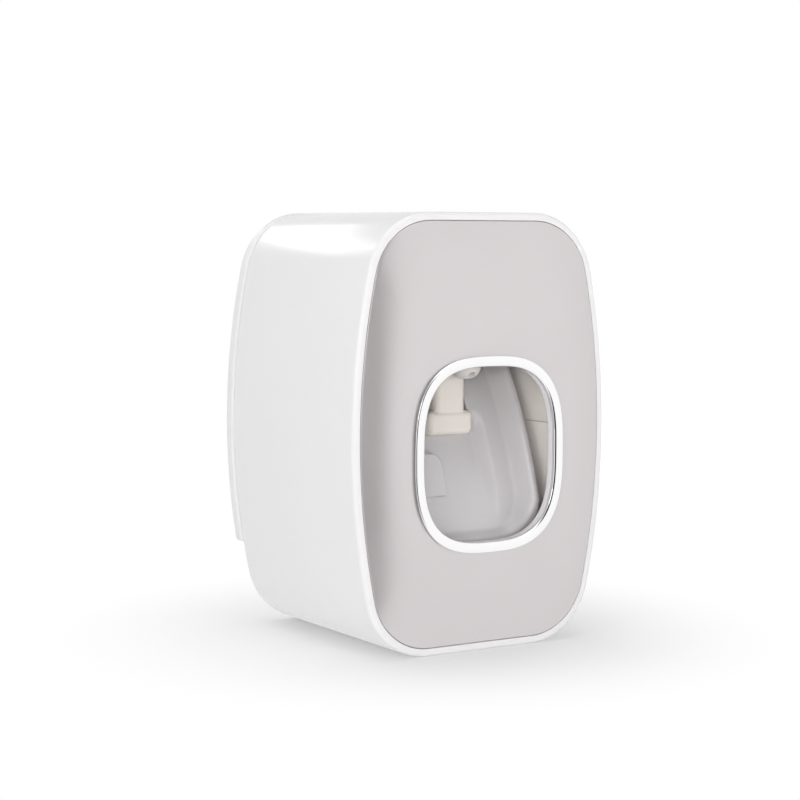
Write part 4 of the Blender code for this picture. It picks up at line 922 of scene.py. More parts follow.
def end_tree(graph, shape):
    """Real geometry with a material, at the tree's end."""
    solid = graph.node("GeometryNodeRealizeInstances", {}, {"Geometry": shape})
    dressed = graph.node("GeometryNodeSetMaterial", {}, {"Geometry": solid, "Material": None})
    finish = graph.tree.nodes.new("NodeGroupOutput")
    graph.plug(finish.inputs[0], dressed)


def grow(item, graph, finish, placing, **sizes):
    """Run a tree on a working shape with these sizes; the result is placed and faces outwards."""
    for node in graph.tree.nodes:
        if node.bl_idname == "GeometryNodeSetMaterial":
            node.inputs["Material"].default_value = finish
    step = item.modifiers.new("repeat", "NODES")
    step.node_group = graph.tree
    named = {s.name: s.identifier for s in graph.tree.interface.items_tree if s.in_out == "INPUT"}
    for label, value in sizes.items():
        step[named[label.replace("_", " ").capitalize()]] = value
    mesh = settle(item)
    mesh.transform(placing)
    work = bmesh.new()
    work.from_mesh(mesh)
    bmesh.ops.recalc_face_normals(work, faces=work.faces)
    if work.calc_volume(signed=True) < 0:
        bmesh.ops.reverse_faces(work, faces=work.faces)
    work.to_mesh(mesh)
    work.free()
    return as_object(item.name + "_grown", mesh)


def ring_tree():
    """A closed path of a rounded window outline, with the shape's own curve swept along it."""
    graph, given = new_tree("swept_window_ring", ("Half width", "Half height", "Roundness"), ("Points",))
    circle = graph.node("GeometryNodeCurvePrimitiveCircle", {},
                        {"Resolution": given["Points"], "Radius": 1.0})
    where = graph.node("GeometryNodeInputPosition")
    parts = graph.tree.nodes.new("ShaderNodeSeparateXYZ")
    graph.plug(parts.inputs[0], where)
    x, y = Value(graph, parts.outputs[0]), Value(graph, parts.outputs[1])
    power = given["Roundness"]
    across = abs(x / given["Half width"]) ** power
    upright = abs(y / given["Half height"]) ** power
    reach = (across + upright) ** (-1.0 / power)
    target = graph.node("ShaderNodeCombineXYZ", {}, {0: x * reach, 1: y * reach, 2: 0.0})
    path = graph.node("GeometryNodeSetPosition", {}, {"Geometry": circle, "Position": target})
    swept = graph.node("GeometryNodeCurveToMesh", {}, {"Curve": path, "Profile Curve": given["Geometry"]})
    end_tree(graph, swept)
    return graph


def grid_tree():
    """Copies of the working shape at the corners of a rectangle."""
    graph, given = new_tree("corner_pattern", ("Width", "Height"), ("Columns", "Rows"))
    sizes = {"Size X": given["Width"], "Size Y": given["Height"], "Vertices X": given["Columns"],
             "Vertices Y": given["Rows"]}
    spots = graph.node("GeometryNodeMeshGrid", {}, sizes)
    copies = graph.node("GeometryNodeInstanceOnPoints", {}, {"Points": spots, "Instance": given["Geometry"]})
    end_tree(graph, copies)
    return graph


def coil_tree():
    """Round wire wound into an open coil along Z."""
    graph, given = new_tree("wire_coil", ("Turns", "Coil radius", "Height", "Wire radius"))
    winding = {"Resolution": COIL_STEPS, "Rotations": given["Turns"], "Start Radius": given["Coil radius"],
               "End Radius": given["Coil radius"], "Height": given["Height"], "Reverse": False}
    path = graph.node("GeometryNodeCurveSpiral", {}, winding)
    section = graph.node("GeometryNodeCurvePrimitiveCircle", {},
                         {"Resolution": WIRE_STEPS, "Radius": given["Wire radius"]})
    wire = graph.node("GeometryNodeCurveToMesh", {},
                      {"Curve": path, "Profile Curve": section, "Fill Caps": True})
    end_tree(graph, wire)
    return graph


def profile_curve(name, points):
    data = bpy.data.curves.new(name, "CURVE")
    data.dimensions = "2D"
    data.fill_mode = "NONE"
    spline = data.splines.new("POLY")
    spline.points.add(len(points) - 1)
    for point, place in zip(spline.points, points):
        point.co = (place[0], place[1], 0.0, 1.0)
    spline.use_cyclic_u = True
    return as_object(name, data)


def make_window_ring():
    front = FRONT_Y - PANEL_CROWN - SEAT_GAP - TRIM_THICKNESS
    seat = front + TRIM_THICKNESS
    rear = front + TRIM_DEPTH
    profile = [(0.0, front, FULL), (TRIM_BAND, front, BLUNT), (TRIM_BAND, seat, CRISP),
               (TRIM_COLLAR_WALL, seat), (TRIM_COLLAR_WALL, rear, KEEN), (0.0, rear, KEEN)]
    section = profile_curve("ring_section", rounded(profile, steps=8))
    placing = Matrix.Translation((0, 0, WINDOW_Z)) @ Matrix.Rotation(math.pi / 2, 4, "X")
    ring = grow(section, ring_tree(), CHROME, placing, half_width=WINDOW_HALF_WIDTH,
                half_height=WINDOW_HALF_HEIGHT, roundness=WINDOW_ROUNDNESS, points=RING_POINTS)
    piece("window_ring", ring, CHROME, "housing", "trim_bright", "window_trim", sharp=50)


# Lever
RIM_CORNER = Vector((HINGE.y - RIM_CORNER_FORWARD, HINGE.z - RIM_CORNER_DROP))
LEVER_BOTTOM_Z = RIM_CORNER.y - LEVER_TIP
BOW_CENTRE = RIM_CORNER + LEVER_BOW_RADIUS * Vector((math.cos(LEVER_TIP_LEAN), -math.sin(LEVER_TIP_LEAN)))
TRAY_RADIUS = LEVER_BOW_RADIUS - LEVER_TRAY_DEPTH


def bow_angle(radius, height):
    return math.asin((height - BOW_CENTRE.y) / radius)


def bow_point(radius, angle):
    return (BOW_CENTRE.x - radius * math.cos(angle), BOW_CENTRE.y + radius * math.sin(angle))


def bow_stretch(radius, low_angle, high_angle, steps=28):
    angles = [low_angle + (high_angle - low_angle) * k / steps for k in range(steps + 1)]
    return [bow_point(radius, angle) for angle in angles]


def channel_stretch(extra, steps=16):
    """The channel's floor, from its shallow lower end up to the slot, set back by extra."""
    low = bow_angle(TRAY_RADIUS, HINGE.z - CHANNEL_DROP)
    high = bow_angle(TRAY_RADIUS - CHANNEL_DEPTH, HINGE.z - LEVER_SLOT_DROP)
    points = []
    for k in range(steps + 1):
        share = k / steps
        radius = TRAY_RADIUS - CHANNEL_DEPTH * share - extra
        points.append(bow_point(radius, low + (high - low) * share))
    return points


def eased(value, low, high):
    share = min(max((value - low) / (high - low), 0.0), 1.0)
    return share * share * (3 - 2 * share)


def bow_y(radius, z):
    return BOW_CENTRE.x - math.sqrt(radius ** 2 - (z - BOW_CENTRE.y) ** 2)


def inside_box(x, z, right, top, corner, low=-1.0, left=-1.0):
    """How far inside a box a point lies; the box's upper right corner is round."""
    across, above = x - right + corner, z - top + corner
    outside = math.hypot(max(across, 0.0), max(above, 0.0)) + min(max(across, above), 0.0)
    return min(corner - outside, x - left, z - low)


def lever_front_y(x, z):
    """The lever's face: a rolled rim, a soft hollow, the channel up to the slot and the raised pad."""
    floor_y = bow_y(TRAY_RADIUS, z)
    if z > RIM_CORNER.y:
        rim_y = bow_y(LEVER_BOW_RADIUS, z)
    else:
        share = (RIM_CORNER.y - z) / LEVER_TIP
        tip_y = bow_y(TRAY_RADIUS, LEVER_BOTTOM_Z) - LEVER_LIP
        rim_y = RIM_CORNER.x + (tip_y - RIM_CORNER.x) * share
    edge = inside_box(abs(x), -z, LEVER_HALF_WIDTH, -LEVER_BOTTOM_Z, LEVER_BOTTOM_RADIUS)
    if edge < RIM_CREST:
        outward_share = (RIM_CREST - edge) / RIM_CREST
        return rim_y + RIM_ROLL * (1 - math.sqrt(max(1 - outward_share ** 2, 0.0)))
    hollow = inside_box(abs(x), -z, LEVER_HALF_WIDTH, -LEVER_BOTTOM_Z, HOLLOW_ROUNDING)
    y = rim_y + (floor_y - rim_y) * eased(hollow, RIM_CREST, RIM_CREST + HOLLOW_EASE)
    y += channel_depth(z) * eased(-abs(x), -LEVER_SLOT_HALF_WIDTH - CHANNEL_EASE, -LEVER_SLOT_HALF_WIDTH)
    rest = inside_box(x, z, -REST_INNER_EDGE, HINGE.z - REST_TOP_DROP, REST_ROUNDING,
                      HINGE.z - REST_BOTTOM_DROP, -REST_OUTER_EDGE)
    return y + (floor_y - REST_PROUD - y) * eased(rest, 0.0, REST_EASE)


def channel_depth(z):
    """The channel deepens up to the slot and fades out beside it."""
    slot_z = HINGE.z - LEVER_SLOT_DROP
    share = (z - HINGE.z + CHANNEL_DROP) / (CHANNEL_DROP - LEVER_SLOT_DROP)
    return CHANNEL_DEPTH * min(max(share, 0.0), 1.0) * eased(-z, -slot_z - SLOT_FADE, -slot_z)


def lever_back_y(x, z):
    y = bow_y(TRAY_RADIUS - LEVER_FLOOR, z)
    trough = max(channel_depth(z) + CHANNEL_WALL - LEVER_FLOOR, 0.0)
    wide = LEVER_SLOT_HALF_WIDTH + CHANNEL_WALL
    return y + trough * eased(-abs(x), -wide - CHANNEL_EASE, -wide)


def lever_skin():
    """The lever's face and back as even grids that follow its outline, closed along their edges."""
    work = bmesh.new()
    height = HINGE.z + BARREL_RADIUS / 2 - LEVER_BOTTOM_Z
    rows = round(height / LEVER_GRID)
    columns = round(2 * LEVER_HALF_WIDTH / LEVER_GRID)
    front, back = [], []
    for r in range(rows + 1):
        z = LEVER_BOTTOM_Z + height * r / rows
        rise = max(LEVER_BOTTOM_RADIUS - (z - LEVER_BOTTOM_Z), 0.0)
        half = LEVER_HALF_WIDTH - LEVER_BOTTOM_RADIUS + math.sqrt(LEVER_BOTTOM_RADIUS ** 2 - rise ** 2)
        places = [half * (2 * c / columns - 1) for c in range(columns + 1)]
        front.append([work.verts.new((x, lever_front_y(x, z), z)) for x in places])
        back.append([work.verts.new((x, lever_back_y(x, z), z)) for x in places])
    for sheet in (front, back):
        for r in range(rows):
            for c in range(columns):
                work.faces.new((sheet[r][c], sheet[r][c + 1], sheet[r + 1][c + 1], sheet[r + 1][c]))
    for r in range(rows):
        for c in (0, columns):
            work.faces.new((front[r][c], front[r + 1][c], back[r + 1][c], back[r][c]))
    for c in range(columns):
        for r in (0, rows):
            work.faces.new((front[r][c], front[r][c + 1], back[r][c + 1], back[r][c]))
    return as_object("lever_tray", mesh_from(work))


def make_lever_tray():
    lever = lever_skin()
    wide, slim = LEVER_SLOT_HALF_WIDTH, ARM_GAP_HALF_WIDTH
    low, step, high = HINGE.z - LEVER_SLOT_DROP, HINGE.z - ARM_GAP_DROP, HINGE.z + 4 * BARREL_RADIUS
    gap = [(-wide, low), (wide, low), (wide, step), (slim, step + wide - slim), (slim, high), (-slim, high),
           (-slim, step + wide - slim), (-wide, step)]
    lean = math.atan2(CRANK_PIN.y - HINGE.y, CRANK_PIN.z - HINGE.z)
    plate = arc(HINGE.yz, BARREL_RADIUS, math.pi - lean, 2 * math.pi - lean, FINE_CORNER)
    plate += arc(CRANK_PIN.yz, BARREL_RADIUS, -lean, math.pi - lean, FINE_CORNER)
    openings = [settle(slab("arm_slot", gap, FRONT_Y - 2 * PANEL_CROWN, REAR_Y, "front"))]
    for side in (-1, 1):
        barrel = bar("hinge_barrel", HINGE_LINE, side * (slim + RUNNING_GAP),
                     side * (LEVER_HALF_WIDTH - OVERSHOOT / 4), BARREL_RADIUS, PIN_ROUND)
        arm = slab("crank_plate", plate, side * CRANK_INNER, side * CRANK_OUTER, "side")
        soften(barrel, PLATE_ROUNDING)
        soften(arm, PLATE_ROUNDING)
        add(lever, barrel, arm)
        for pin, radius in ((HINGE, HINGE_PIN_RADIUS), (CRANK_PIN, CRANK_PIN_RADIUS)):
            hole = bar("pin_hole", ("X", pin.yz), side * (slim + PIN_GAP),
                       side * (LEVER_HALF_WIDTH + OVERSHOOT), radius + PIN_GAP, SMALL_ROUND)
            openings.append(settle(hole))
    cut(lever, as_object("lever_openings", join_meshes("lever_openings", openings)))
    piece("lever_tray", lever, LEVER, "lever", "lever_grey", "push_lever", sharp=45)


# Shroud and nozzle
SHROUD_VOXEL = 0.00016
SHROUD_PASSES = 5


def make_shroud():
    low = HINGE.z - SHROUD_DROP
    high = PUMP_Z - CYLINDER_RADIUS + SHROUD_SEAT
    shroud = box("rounded_shroud", (-SHROUD_HALF_WIDTH, CYLINDER_FRONT_Y, low),
                 (SHROUD_HALF_WIDTH, CYLINDER_FRONT_Y + SHROUD_THICKNESS, high))
    lobe = box("shroud_lobe", (-SHROUD_LOBE_HALF_WIDTH, CYLINDER_FRONT_Y - SHROUD_LOBE_PROUD, low),
               (SHROUD_LOBE_HALF_WIDTH, CYLINDER_FRONT_Y + SHROUD_LOBE_DEPTH, low + SHROUD_LOBE_HEIGHT))
    soften(shroud, SHROUD_ROUNDING, 10)
    soften(lobe, SHROUD_ROUNDING, 10)
    floor = channel_stretch(-SEAT_GAP)
    edge_z = HINGE.z - LEVER_SLOT_DROP + SEAT_GAP
    behind = [(floor[-1][0], edge_z), (REAR_Y, edge_z), (REAR_Y, floor[0][1])]
    add(shroud, lobe)
    cut(shroud, slab("lever_room", floor + behind, -LEVER_HALF_WIDTH, LEVER_HALF_WIDTH, "side"))
    cut(shroud, bar("cylinder_seat", PUMP_LINE, CYLINDER_FRONT_Y - OVERSHOOT, REAR_Y,
                    CYLINDER_RADIUS + SEAT_GAP))
    melt(shroud, SHROUD_VOXEL, SHROUD_PASSES)
    piece("rounded_shroud", shroud, SHROUD, "housing", "liner_cream", "pump_shroud", sharp=60)


def make_nozzle_tip():
    length, end = NOZZLE_LENGTH, NOZZLE_END_RADIUS
    profile = [(NOZZLE_RADIUS - EASED, length), (NOZZLE_RADIUS, length - EASED)]
    profile += [(NOZZLE_RADIUS - end + r, end + z) for r, z in arc((0, 0), end, 0, -math.pi / 2, 16)]
    profile += [(0.0, 0.0), (0.0, length / 4), (PORT_RADIUS, length / 3), (PORT_RADIUS, length)]
    nozzle = turned("nozzle_tip", profile, (0, SPOUT_AXIS_Y, NOZZLE_TOP_Z - length))
    heading = Vector((0, -math.sin(OUTLET_HOLE_TILT), -math.cos(OUTLET_HOLE_TILT)))
    inside = Vector((0, SPOUT_AXIS_Y, NOZZLE_TOP_Z - length / 2))
    cut(nozzle, rod("paste_outlet", inside, inside + heading * length, OUTLET_HOLE_RADIUS, 32))
    piece("nozzle_tip", nozzle, SILICONE, "housing", "nozzle_silicone", "nozzle", sharp=40)


# Inner housing
def swept_back_y():
    """How far back the lever and its channel reach at the end of the travel."""
    reach = TRAY_RADIUS - LEVER_FLOOR
    angles = (bow_angle(reach, LEVER_BOTTOM_Z), bow_angle(reach, HINGE.z - LEVER_SLOT_DROP))
    points = bow_stretch(reach, *angles) + channel_stretch(CHANNEL_WALL)
    cosine, sine = math.cos(LEVER_TRAVEL), math.sin(LEVER_TRAVEL)
    return max(HINGE.y + (y - HINGE.y) * cosine - (z - HINGE.z) * sine for y, z in points)


def add_screw_bosses(shell, height):
    """Blocks inside the side walls that take the back's screws."""
    half = SCREW_BOSS_SIZE / 2
    rear = CHASSIS_REAR_Y
    for side in (-1, 1):
        near, far = side * (CHASSIS_HALF_WIDTH - SCREW_BOSS_SIZE), side * (CHASSIS_HALF_WIDTH - SEAT_GAP)
        add(shell, box("screw_boss", (near, rear - SCREW_BOSS_LENGTH, height - half),
                       (far, rear - SEAT_GAP / 10, height + half)))
        cut(shell, bar("boss_pilot", ("Y", (side * SCREW_X, height)), rear - SCREW_LENGTH,
                       rear + OVERSHOOT, SCREW_RADIUS + PIN_GAP, PILOT_ROUND))


def make_upper_liner():
    """The arched upper half, which carries the hinge pins and the pump."""
    inner, outer = CHASSIS_HALF_WIDTH - CHASSIS_WALL, CHASSIS_HALF_WIDTH
    front, rear = CHASSIS_FRONT_Y, CHASSIS_REAR_Y
    outline = rounded_box(outer, SEAM_Z + PIN_GAP, ROOF_TOP_Z, 0.0, CHASSIS_ROUNDING)
    shell = slab("upper_liner", outline, front, rear, "front")
    outline = rounded_box(inner, SEAM_Z - OVERSHOOT, ROOF_Z, 0.0, CHASSIS_ROUNDING - CHASSIS_WALL)
    cut(shell, slab("upper_inside", outline, front - OVERSHOOT, rear + OVERSHOOT, "front"))
    add_screw_bosses(shell, MIDDLE_Z + SCREW_BOSS_RISE)
    low, high = ROOF_Z - OVERSHOOT, ROOF_TOP_Z + OVERSHOOT
    cut(shell, bar("pin_seat", HINGE_LINE, -2 * outer, 2 * outer, HINGE_PIN_RADIUS + PIN_GAP, SMALL_ROUND),
        bar("boss_hole", TUBE_LINE, low, high, BOSS_RADIUS + SEAT_GAP))
    for step in (-PUMP_SCREW_STEP, PUMP_SCREW_STEP):
        cut(shell, bar("roof_screw_hole", ("Z", (0, TUBE_Y + step)), low, high, SCREW_RADIUS + SEAT_GAP,
                       PILOT_ROUND))
    dull(shell)
    piece("upper_liner", shell, LINER, "housing", "liner_cream", "upper_chassis")


def make_lower_liner():
    """The lower half: the chamber in front for the brush, and a hollow behind its back wall."""
    inner, outer = CHASSIS_HALF_WIDTH - CHASSIS_WALL, CHASSIS_HALF_WIDTH
    floor_z = LEVER_BOTTOM_Z - CHASSIS_FLOOR_CLEARANCE
    under_z = floor_z - CHASSIS_WALL
    back_y = swept_back_y() + BACK_WALL_CLEARANCE
    shell = box("lower_liner", (-outer, CHASSIS_FRONT_Y, under_z), (outer, CHASSIS_REAR_Y, SEAM_Z))
    chamber = box("brush_chamber", (-inner, CHASSIS_FRONT_Y - 2 * OVERSHOOT, floor_z),
                  (inner, back_y, SEAM_Z + 2 * OVERSHOOT))
    rear = box("rear_hollow", (-inner, back_y + CHASSIS_WALL, under_z - OVERSHOOT),
               (inner, CHASSIS_REAR_Y + OVERSHOOT, SEAM_Z + OVERSHOOT))
    soften(chamber, CHAMBER_ROUNDING, 5)
    cut(shell, chamber, rear)
    add_screw_bosses(shell, MIDDLE_Z - SCREW_BOSS_RISE)
    dull(shell)
    piece("lower_liner", shell, LINER, "housing", "liner_cream", "lower_chassis")


# Pump
ALONG_Y = (-math.pi / 2, 0.0, 0.0)


def make_pump_barrel():
    """The cylinder with its saddle under the roof and the inlet that takes the tube's neck."""
    front, wall = CYLINDER_FRONT_Y, CYLINDER_FRONT_WALL
    top_z = ROOF_Z - SEAT_GAP
    barrel = bar("pump_barrel", PUMP_LINE, front, CYLINDER_REAR_Y, CYLINDER_RADIUS)
    saddle = box("saddle_block", (-SADDLE_HALF_WIDTH, front, PUMP_Z),
                 (SADDLE_HALF_WIDTH, TUBE_Y + PUMP_SCREW_STEP + SADDLE_REAR_MARGIN, top_z))
    add(barrel, saddle, bar("inlet_boss", TUBE_LINE, top_z - OVERSHOOT, BOSS_TOP_Z, BOSS_RADIUS))
    cut(barrel, bar("cylinder_bore", PUMP_LINE, front + wall, CYLINDER_REAR_Y + OVERSHOOT, BORE_RADIUS),
        bar("outlet_port", PUMP_LINE, front - OVERSHOOT, front + wall + OVERSHOOT, PORT_RADIUS,
            SMALL_ROUND),
        bar("inlet_way", TUBE_LINE, PUMP_Z, BOSS_TOP_Z, INLET_RADIUS, SMALL_ROUND),
        bar("neck_seat", TUBE_LINE, INLET_SEAT_Z, BOSS_TOP_Z + OVERSHOOT, TUBE_NECK_RADIUS))
    tip_z = ROOF_TOP_Z + SEAT_GAP - PUMP_SCREW_LENGTH
    for step in (-PUMP_SCREW_STEP, PUMP_SCREW_STEP):
        cut(barrel, bar("saddle_pilot", ("Z", (0, TUBE_Y + step)), tip_z - SEAT_GAP, top_z + OVERSHOOT,
                        SCREW_RADIUS + PIN_GAP, PILOT_ROUND))
    dull(barrel, KEEN)
    piece("pump_barrel", barrel, PUMP, "housing", "pump_white", "pump_cylinder")


def make_spout_elbow():
    """The elbow from the barrel's port down to the nozzle."""
    down, pocket = ("Z", (0, SPOUT_AXIS_Y)), VALVE_RADIUS + SEAT_GAP
    pocket_y = SPOUT_REAR_Y - VALVE_THICKNESS - 2 * SEAT_GAP
    open_y = SPOUT_REAR_Y + OVERSHOOT
    spout = bar("spout_elbow", down, NOZZLE_TOP_Z + SEAT_GAP, PUMP_Z + SPOUT_TUBE_RADIUS,
                SPOUT_TUBE_RADIUS)
    soften(spout, FULL)
    add(spout, bar("spout_across", PUMP_LINE, SPOUT_AXIS_Y, SPOUT_REAR_Y, pocket + TRIM_COLLAR_WALL))
    cut(spout, bar("down_way", down, NOZZLE_TOP_Z - OVERSHOOT, PUMP_Z, PORT_RADIUS, SMALL_ROUND),
        bar("back_way", PUMP_LINE, SPOUT_AXIS_Y, open_y, PORT_RADIUS, SMALL_ROUND),
        bar("valve_pocket", PUMP_LINE, pocket_y, open_y, pocket))
    dull(spout)
    piece("spout_elbow", spout, LINER, "housing", "liner_cream", "outlet_spout")


def make_plunger_yoke():
    """The rod, the crosshead behind the spring and the two bars to the crank pins."""
    rear = COVER_Y - CROSSHEAD_CLEARANCE
    front = CRANK_PIN.y - YOKE_HALF_HEIGHT
    low, high = PUMP_Z - YOKE_HALF_HEIGHT, PUMP_Z + YOKE_HALF_HEIGHT
    yoke = box("plunger_yoke", (-YOKE_OUTER, front, low), (YOKE_OUTER, rear, high))
    gap = box("yoke_gap", (-YOKE_INNER, front - 2 * OVERSHOOT, low - 2 * OVERSHOOT),
              (YOKE_INNER, rear - YOKE_CROSSHEAD, high + 2 * OVERSHOOT))
    soften(gap, FULL)
    cut(yoke, gap)
    add(yoke, bar("yoke_stem", PUMP_LINE, PISTON_FRONT_Y + PISTON_LENGTH / 4 + SEAT_GAP,
                  rear - YOKE_CROSSHEAD / 2, PISTON_ROD_RADIUS, PIN_ROUND))
    half = CRANK_PIN_RADIUS + SEAT_GAP
    turn = half * SLOT_ROUNDNESS
    slot = rounded_box(half, -SLOT_HALF_HEIGHT, SLOT_HALF_HEIGHT, turn, turn)
    way = [(y + CRANK_PIN.y, z + PUMP_Z) for y, z in slot]
    cut(yoke, slab("pin_slot", way, -2 * YOKE_OUTER, 2 * YOKE_OUTER, "side"))
    dull(yoke, EASED)
    piece("plunger_yoke", yoke, PUMP, "plunger", "pump_white", "piston_yoke")


def make_plunger_head():
    """The piston and the black ring in its groove."""
    radius = BORE_RADIUS - SEAT_GAP
    inner = radius - PISTON_GROOVE
    low = (PISTON_LENGTH - SEAL_WIDTH) / 2 - SEAT_GAP
    high = (PISTON_LENGTH + SEAL_WIDTH) / 2 + SEAT_GAP
    hub, wall, place = PISTON_ROD_RADIUS + SEAT_GAP, PISTON_LENGTH / 4, (0, PISTON_FRONT_Y, PUMP_Z)
    profile = [(radius, PISTON_LENGTH, EASED), (radius, high, CRISP), (inner, high, CRISP),
               (inner, low, CRISP), (radius, low, CRISP), (radius, 0.0, EASED), (0.0, 0.0), (0.0, wall),
               (hub, wall), (hub, PISTON_LENGTH, KEEN)]
    head = turned("plunger_head", rounded(profile), place, ALONG_Y)
    piece("plunger_head", head, PUMP, "plunger", "pump_white", "piston")
    outer, inner = BORE_RADIUS - PIN_GAP, inner + SEAT_GAP
    low, high = low + SEAT_GAP, high - SEAT_GAP
    ring = [(outer, high, SOFT), (outer, low, SOFT), (inner, low, KEEN), (inner, high, KEEN)]
    seal = turned("plunger_seal", rounded(ring, steps=6), place, ALONG_Y)
    piece("plunger_seal", seal, SEAL, "plunger", "seal_dark", "piston_seal")


def make_barrel_cap():
    hole, rim = PISTON_ROD_RADIUS + SEAT_GAP, CYLINDER_RADIUS
    profile = [(rim, CAP_THICKNESS, BLUNT), (rim, 0.0, BLUNT), (hole, 0.0, KEEN), (hole, CAP_THICKNESS, KEEN)]
    cap = turned("barrel_cap", rounded(profile, steps=6), (0, CYLINDER_REAR_Y + SEAT_GAP, PUMP_Z), ALONG_Y)
    piece("barrel_cap", cap, PUMP, "housing", "pump_white", "cylinder_cap")


DISH_FLOOR = 0.7 * VALVE_THICKNESS
DISH_INNER_SHARE = 0.35
DISH_OUTER_SHARE = 0.45


def make_flaps():
    """The two valve discs, each dished in the middle of its upper side."""
    inlet = (0, TUBE_Y, INLET_SEAT_Z + SEAT_GAP)
    outlet = (0, SPOUT_REAR_Y - SEAT_GAP - VALVE_THICKNESS, PUMP_Z)
    for word, radius, place, turn in (("inlet", TUBE_NECK_RADIUS - SEAT_GAP, inlet, (0, 0, 0)),
                                      ("outlet", VALVE_RADIUS, outlet, ALONG_Y)):
        profile = [(radius, VALVE_THICKNESS, FLAP_EDGE), (radius, 0.0, FLAP_EDGE), (0.0, 0.0),
                   (0.0, DISH_FLOOR), (radius * DISH_INNER_SHARE, DISH_FLOOR, SOFT),
                   (radius * DISH_OUTER_SHARE, VALVE_THICKNESS, SOFT)]
        flap = turned(word + "_flap", rounded(profile), place, turn)
        piece(word + "_flap", flap, FLAP, "housing", "valve_silicone", word + "_valve")


# Tube socket
def make_tube_socket():
    low = ROOF_TOP_Z + SEAT_GAP
    height = CASING_HEIGHT - COLLAR_SET_BACK - low
    chamfer = COLLAR_WALL / 3
    inner = COLLAR_RADIUS - COLLAR_WALL
    profile = [(COLLAR_RADIUS, height, SOFT), (COLLAR_RADIUS, 0.0, KEEN), (inner, 0.0, KEEN),
               (inner, height - chamfer, BLUNT), (inner + chamfer, height, SOFT)]
    socket = turned("tube_socket", rounded(profile, steps=6), (0, TUBE_Y, low), steps=SOCKET_ROUND)
    piece("tube_socket", socket, COLLAR, "housing", "collar_grey", "tube_collar")
    outer = inner - SEAT_GAP
    gasket_low = BOSS_TOP_Z + SEAT_GAP
    lip_z = CASING_HEIGHT - COLLAR_SET_BACK - chamfer - gasket_low
    rubber = [(outer, lip_z, SOFT), (outer, 0.0, EASED), (TUBE_NECK_RADIUS, 0.0, EASED),
              (TUBE_NECK_RADIUS, GASKET_THICKNESS, SOFT), (outer - GASKET_LIP_WALL, lip_z, BLUNT)]
    gasket = turned("socket_gasket", rounded(rubber, steps=6), (0, TUBE_Y, gasket_low), steps=SOCKET_ROUND)
    piece("socket_gasket", gasket, GASKET, "housing", "gasket_grey", "tube_gasket")


# Pins and screws
def make_pins():
    tip, head = CHASSIS_HALF_WIDTH - HINGE_PIN_LENGTH, CHASSIS_HALF_WIDTH + SEAT_GAP
    end = head + PIN_HEAD_HEIGHT
    hinge = [(PIN_HEAD_RADIUS, end, BLUNT), (PIN_HEAD_RADIUS, head, CRISP), (HINGE_PIN_RADIUS, head),
             (HINGE_PIN_RADIUS, tip, BLUNT), (0.0, tip), (0.0, end)]
    start, end = YOKE_INNER + SEAT_GAP, CRANK_OUTER + SEAT_GAP
    crank = [(CRANK_PIN_RADIUS, end, EASED), (CRANK_PIN_RADIUS, start, EASED), (0.0, start), (0.0, end)]
    for side, word in ((-1, "left"), (1, "right")):
        turn = (0, side * math.pi / 2, 0)
        pin = turned(word + "_hinge_pin", rounded(hinge), HINGE, turn)
        piece(word + "_hinge_pin", pin, BRIGHT_STEEL, "housing", "steel", "hinge_pin_" + word)
        pin = turned(word + "_crank_pin", rounded(crank), CRANK_PIN, turn, PIN_ROUND)
        piece(word + "_crank_pin", pin, BRIGHT_STEEL, "lever", "steel", "crank_pin_" + word)


CORE_SHARE = 0.78
HEAD_FLAT_SHARE = 0.72
HEAD_WALL_SHARE = 0.6
RECESS_SHARE = 0.6


def screw_master(name, length):
    """A pan-head screw along Z, its head's underside at 0, with a crossed recess and a threaded shank."""
    head, high, pitch = SCREW_HEAD_RADIUS, SCREW_HEAD_HEIGHT, SCREW_THREAD_PITCH
    core = SCREW_RADIUS * CORE_SHARE
    pan = [(0.0, high), (head * HEAD_FLAT_SHARE, high, SOFT), (head, high * HEAD_WALL_SHARE, BLUNT),
           (head, 0.0, KEEN), (SCREW_RADIUS, 0.0)]
    profile = rounded(pan, steps=4)
    for k in range(int((length - 2 * SCREW_RADIUS) / pitch)):
        top = -pitch * (k + 0.5)
        profile += [(core, top), (SCREW_RADIUS, top - pitch / 2)]
    profile += [(core, -length + SCREW_RADIUS), (0.0, -length)]
    screw = turned(name, profile, steps=SMALL_ROUND)
    arm, slim = head * RECESS_SHARE, SCREW_RECESS_WIDTH / 2
    floor = high - SCREW_RECESS_DEPTH
    for across, along in ((arm, slim), (slim, arm)):
        cut(screw, box("recess", (-across, -along, floor), (across, along, high + OVERSHOOT)))
    soften(screw, SCREW_EDGE, 2, 60, False)
    return as_object(name + "_plain", settle(screw))


def make_screws():
    """Four screws in the back and two in the roof, each set from one master."""
    pattern = grid_tree()
    seat_y = REAR_Y - SEAT_GAP - SCREW_HEAD_HEIGHT
    placing = Matrix.Translation((0, seat_y, MIDDLE_Z)) @ Matrix.Rotation(-math.pi / 2, 4, "X")
    back = grow(screw_master("back_screws", SCREW_LENGTH), pattern, BRIGHT_STEEL, placing,
                width=2 * SCREW_X, height=2 * SCREW_BOSS_RISE, columns=2, rows=2)
    nodes = ["rear_screw_%d" % n for n in (1, 2, 3, 4)]
    piece("back_screws", back, BRIGHT_STEEL, "housing", "steel", *nodes)
    roof = grow(screw_master("roof_screws", PUMP_SCREW_LENGTH), pattern, BRIGHT_STEEL,
                Matrix.Translation((0, TUBE_Y, ROOF_TOP_Z + SEAT_GAP)), width=0.0,
                height=2 * PUMP_SCREW_STEP, columns=1, rows=2)
    piece("roof_screws", roof, BRIGHT_STEEL, "housing", "steel", "pump_screw_front", "pump_screw_rear")


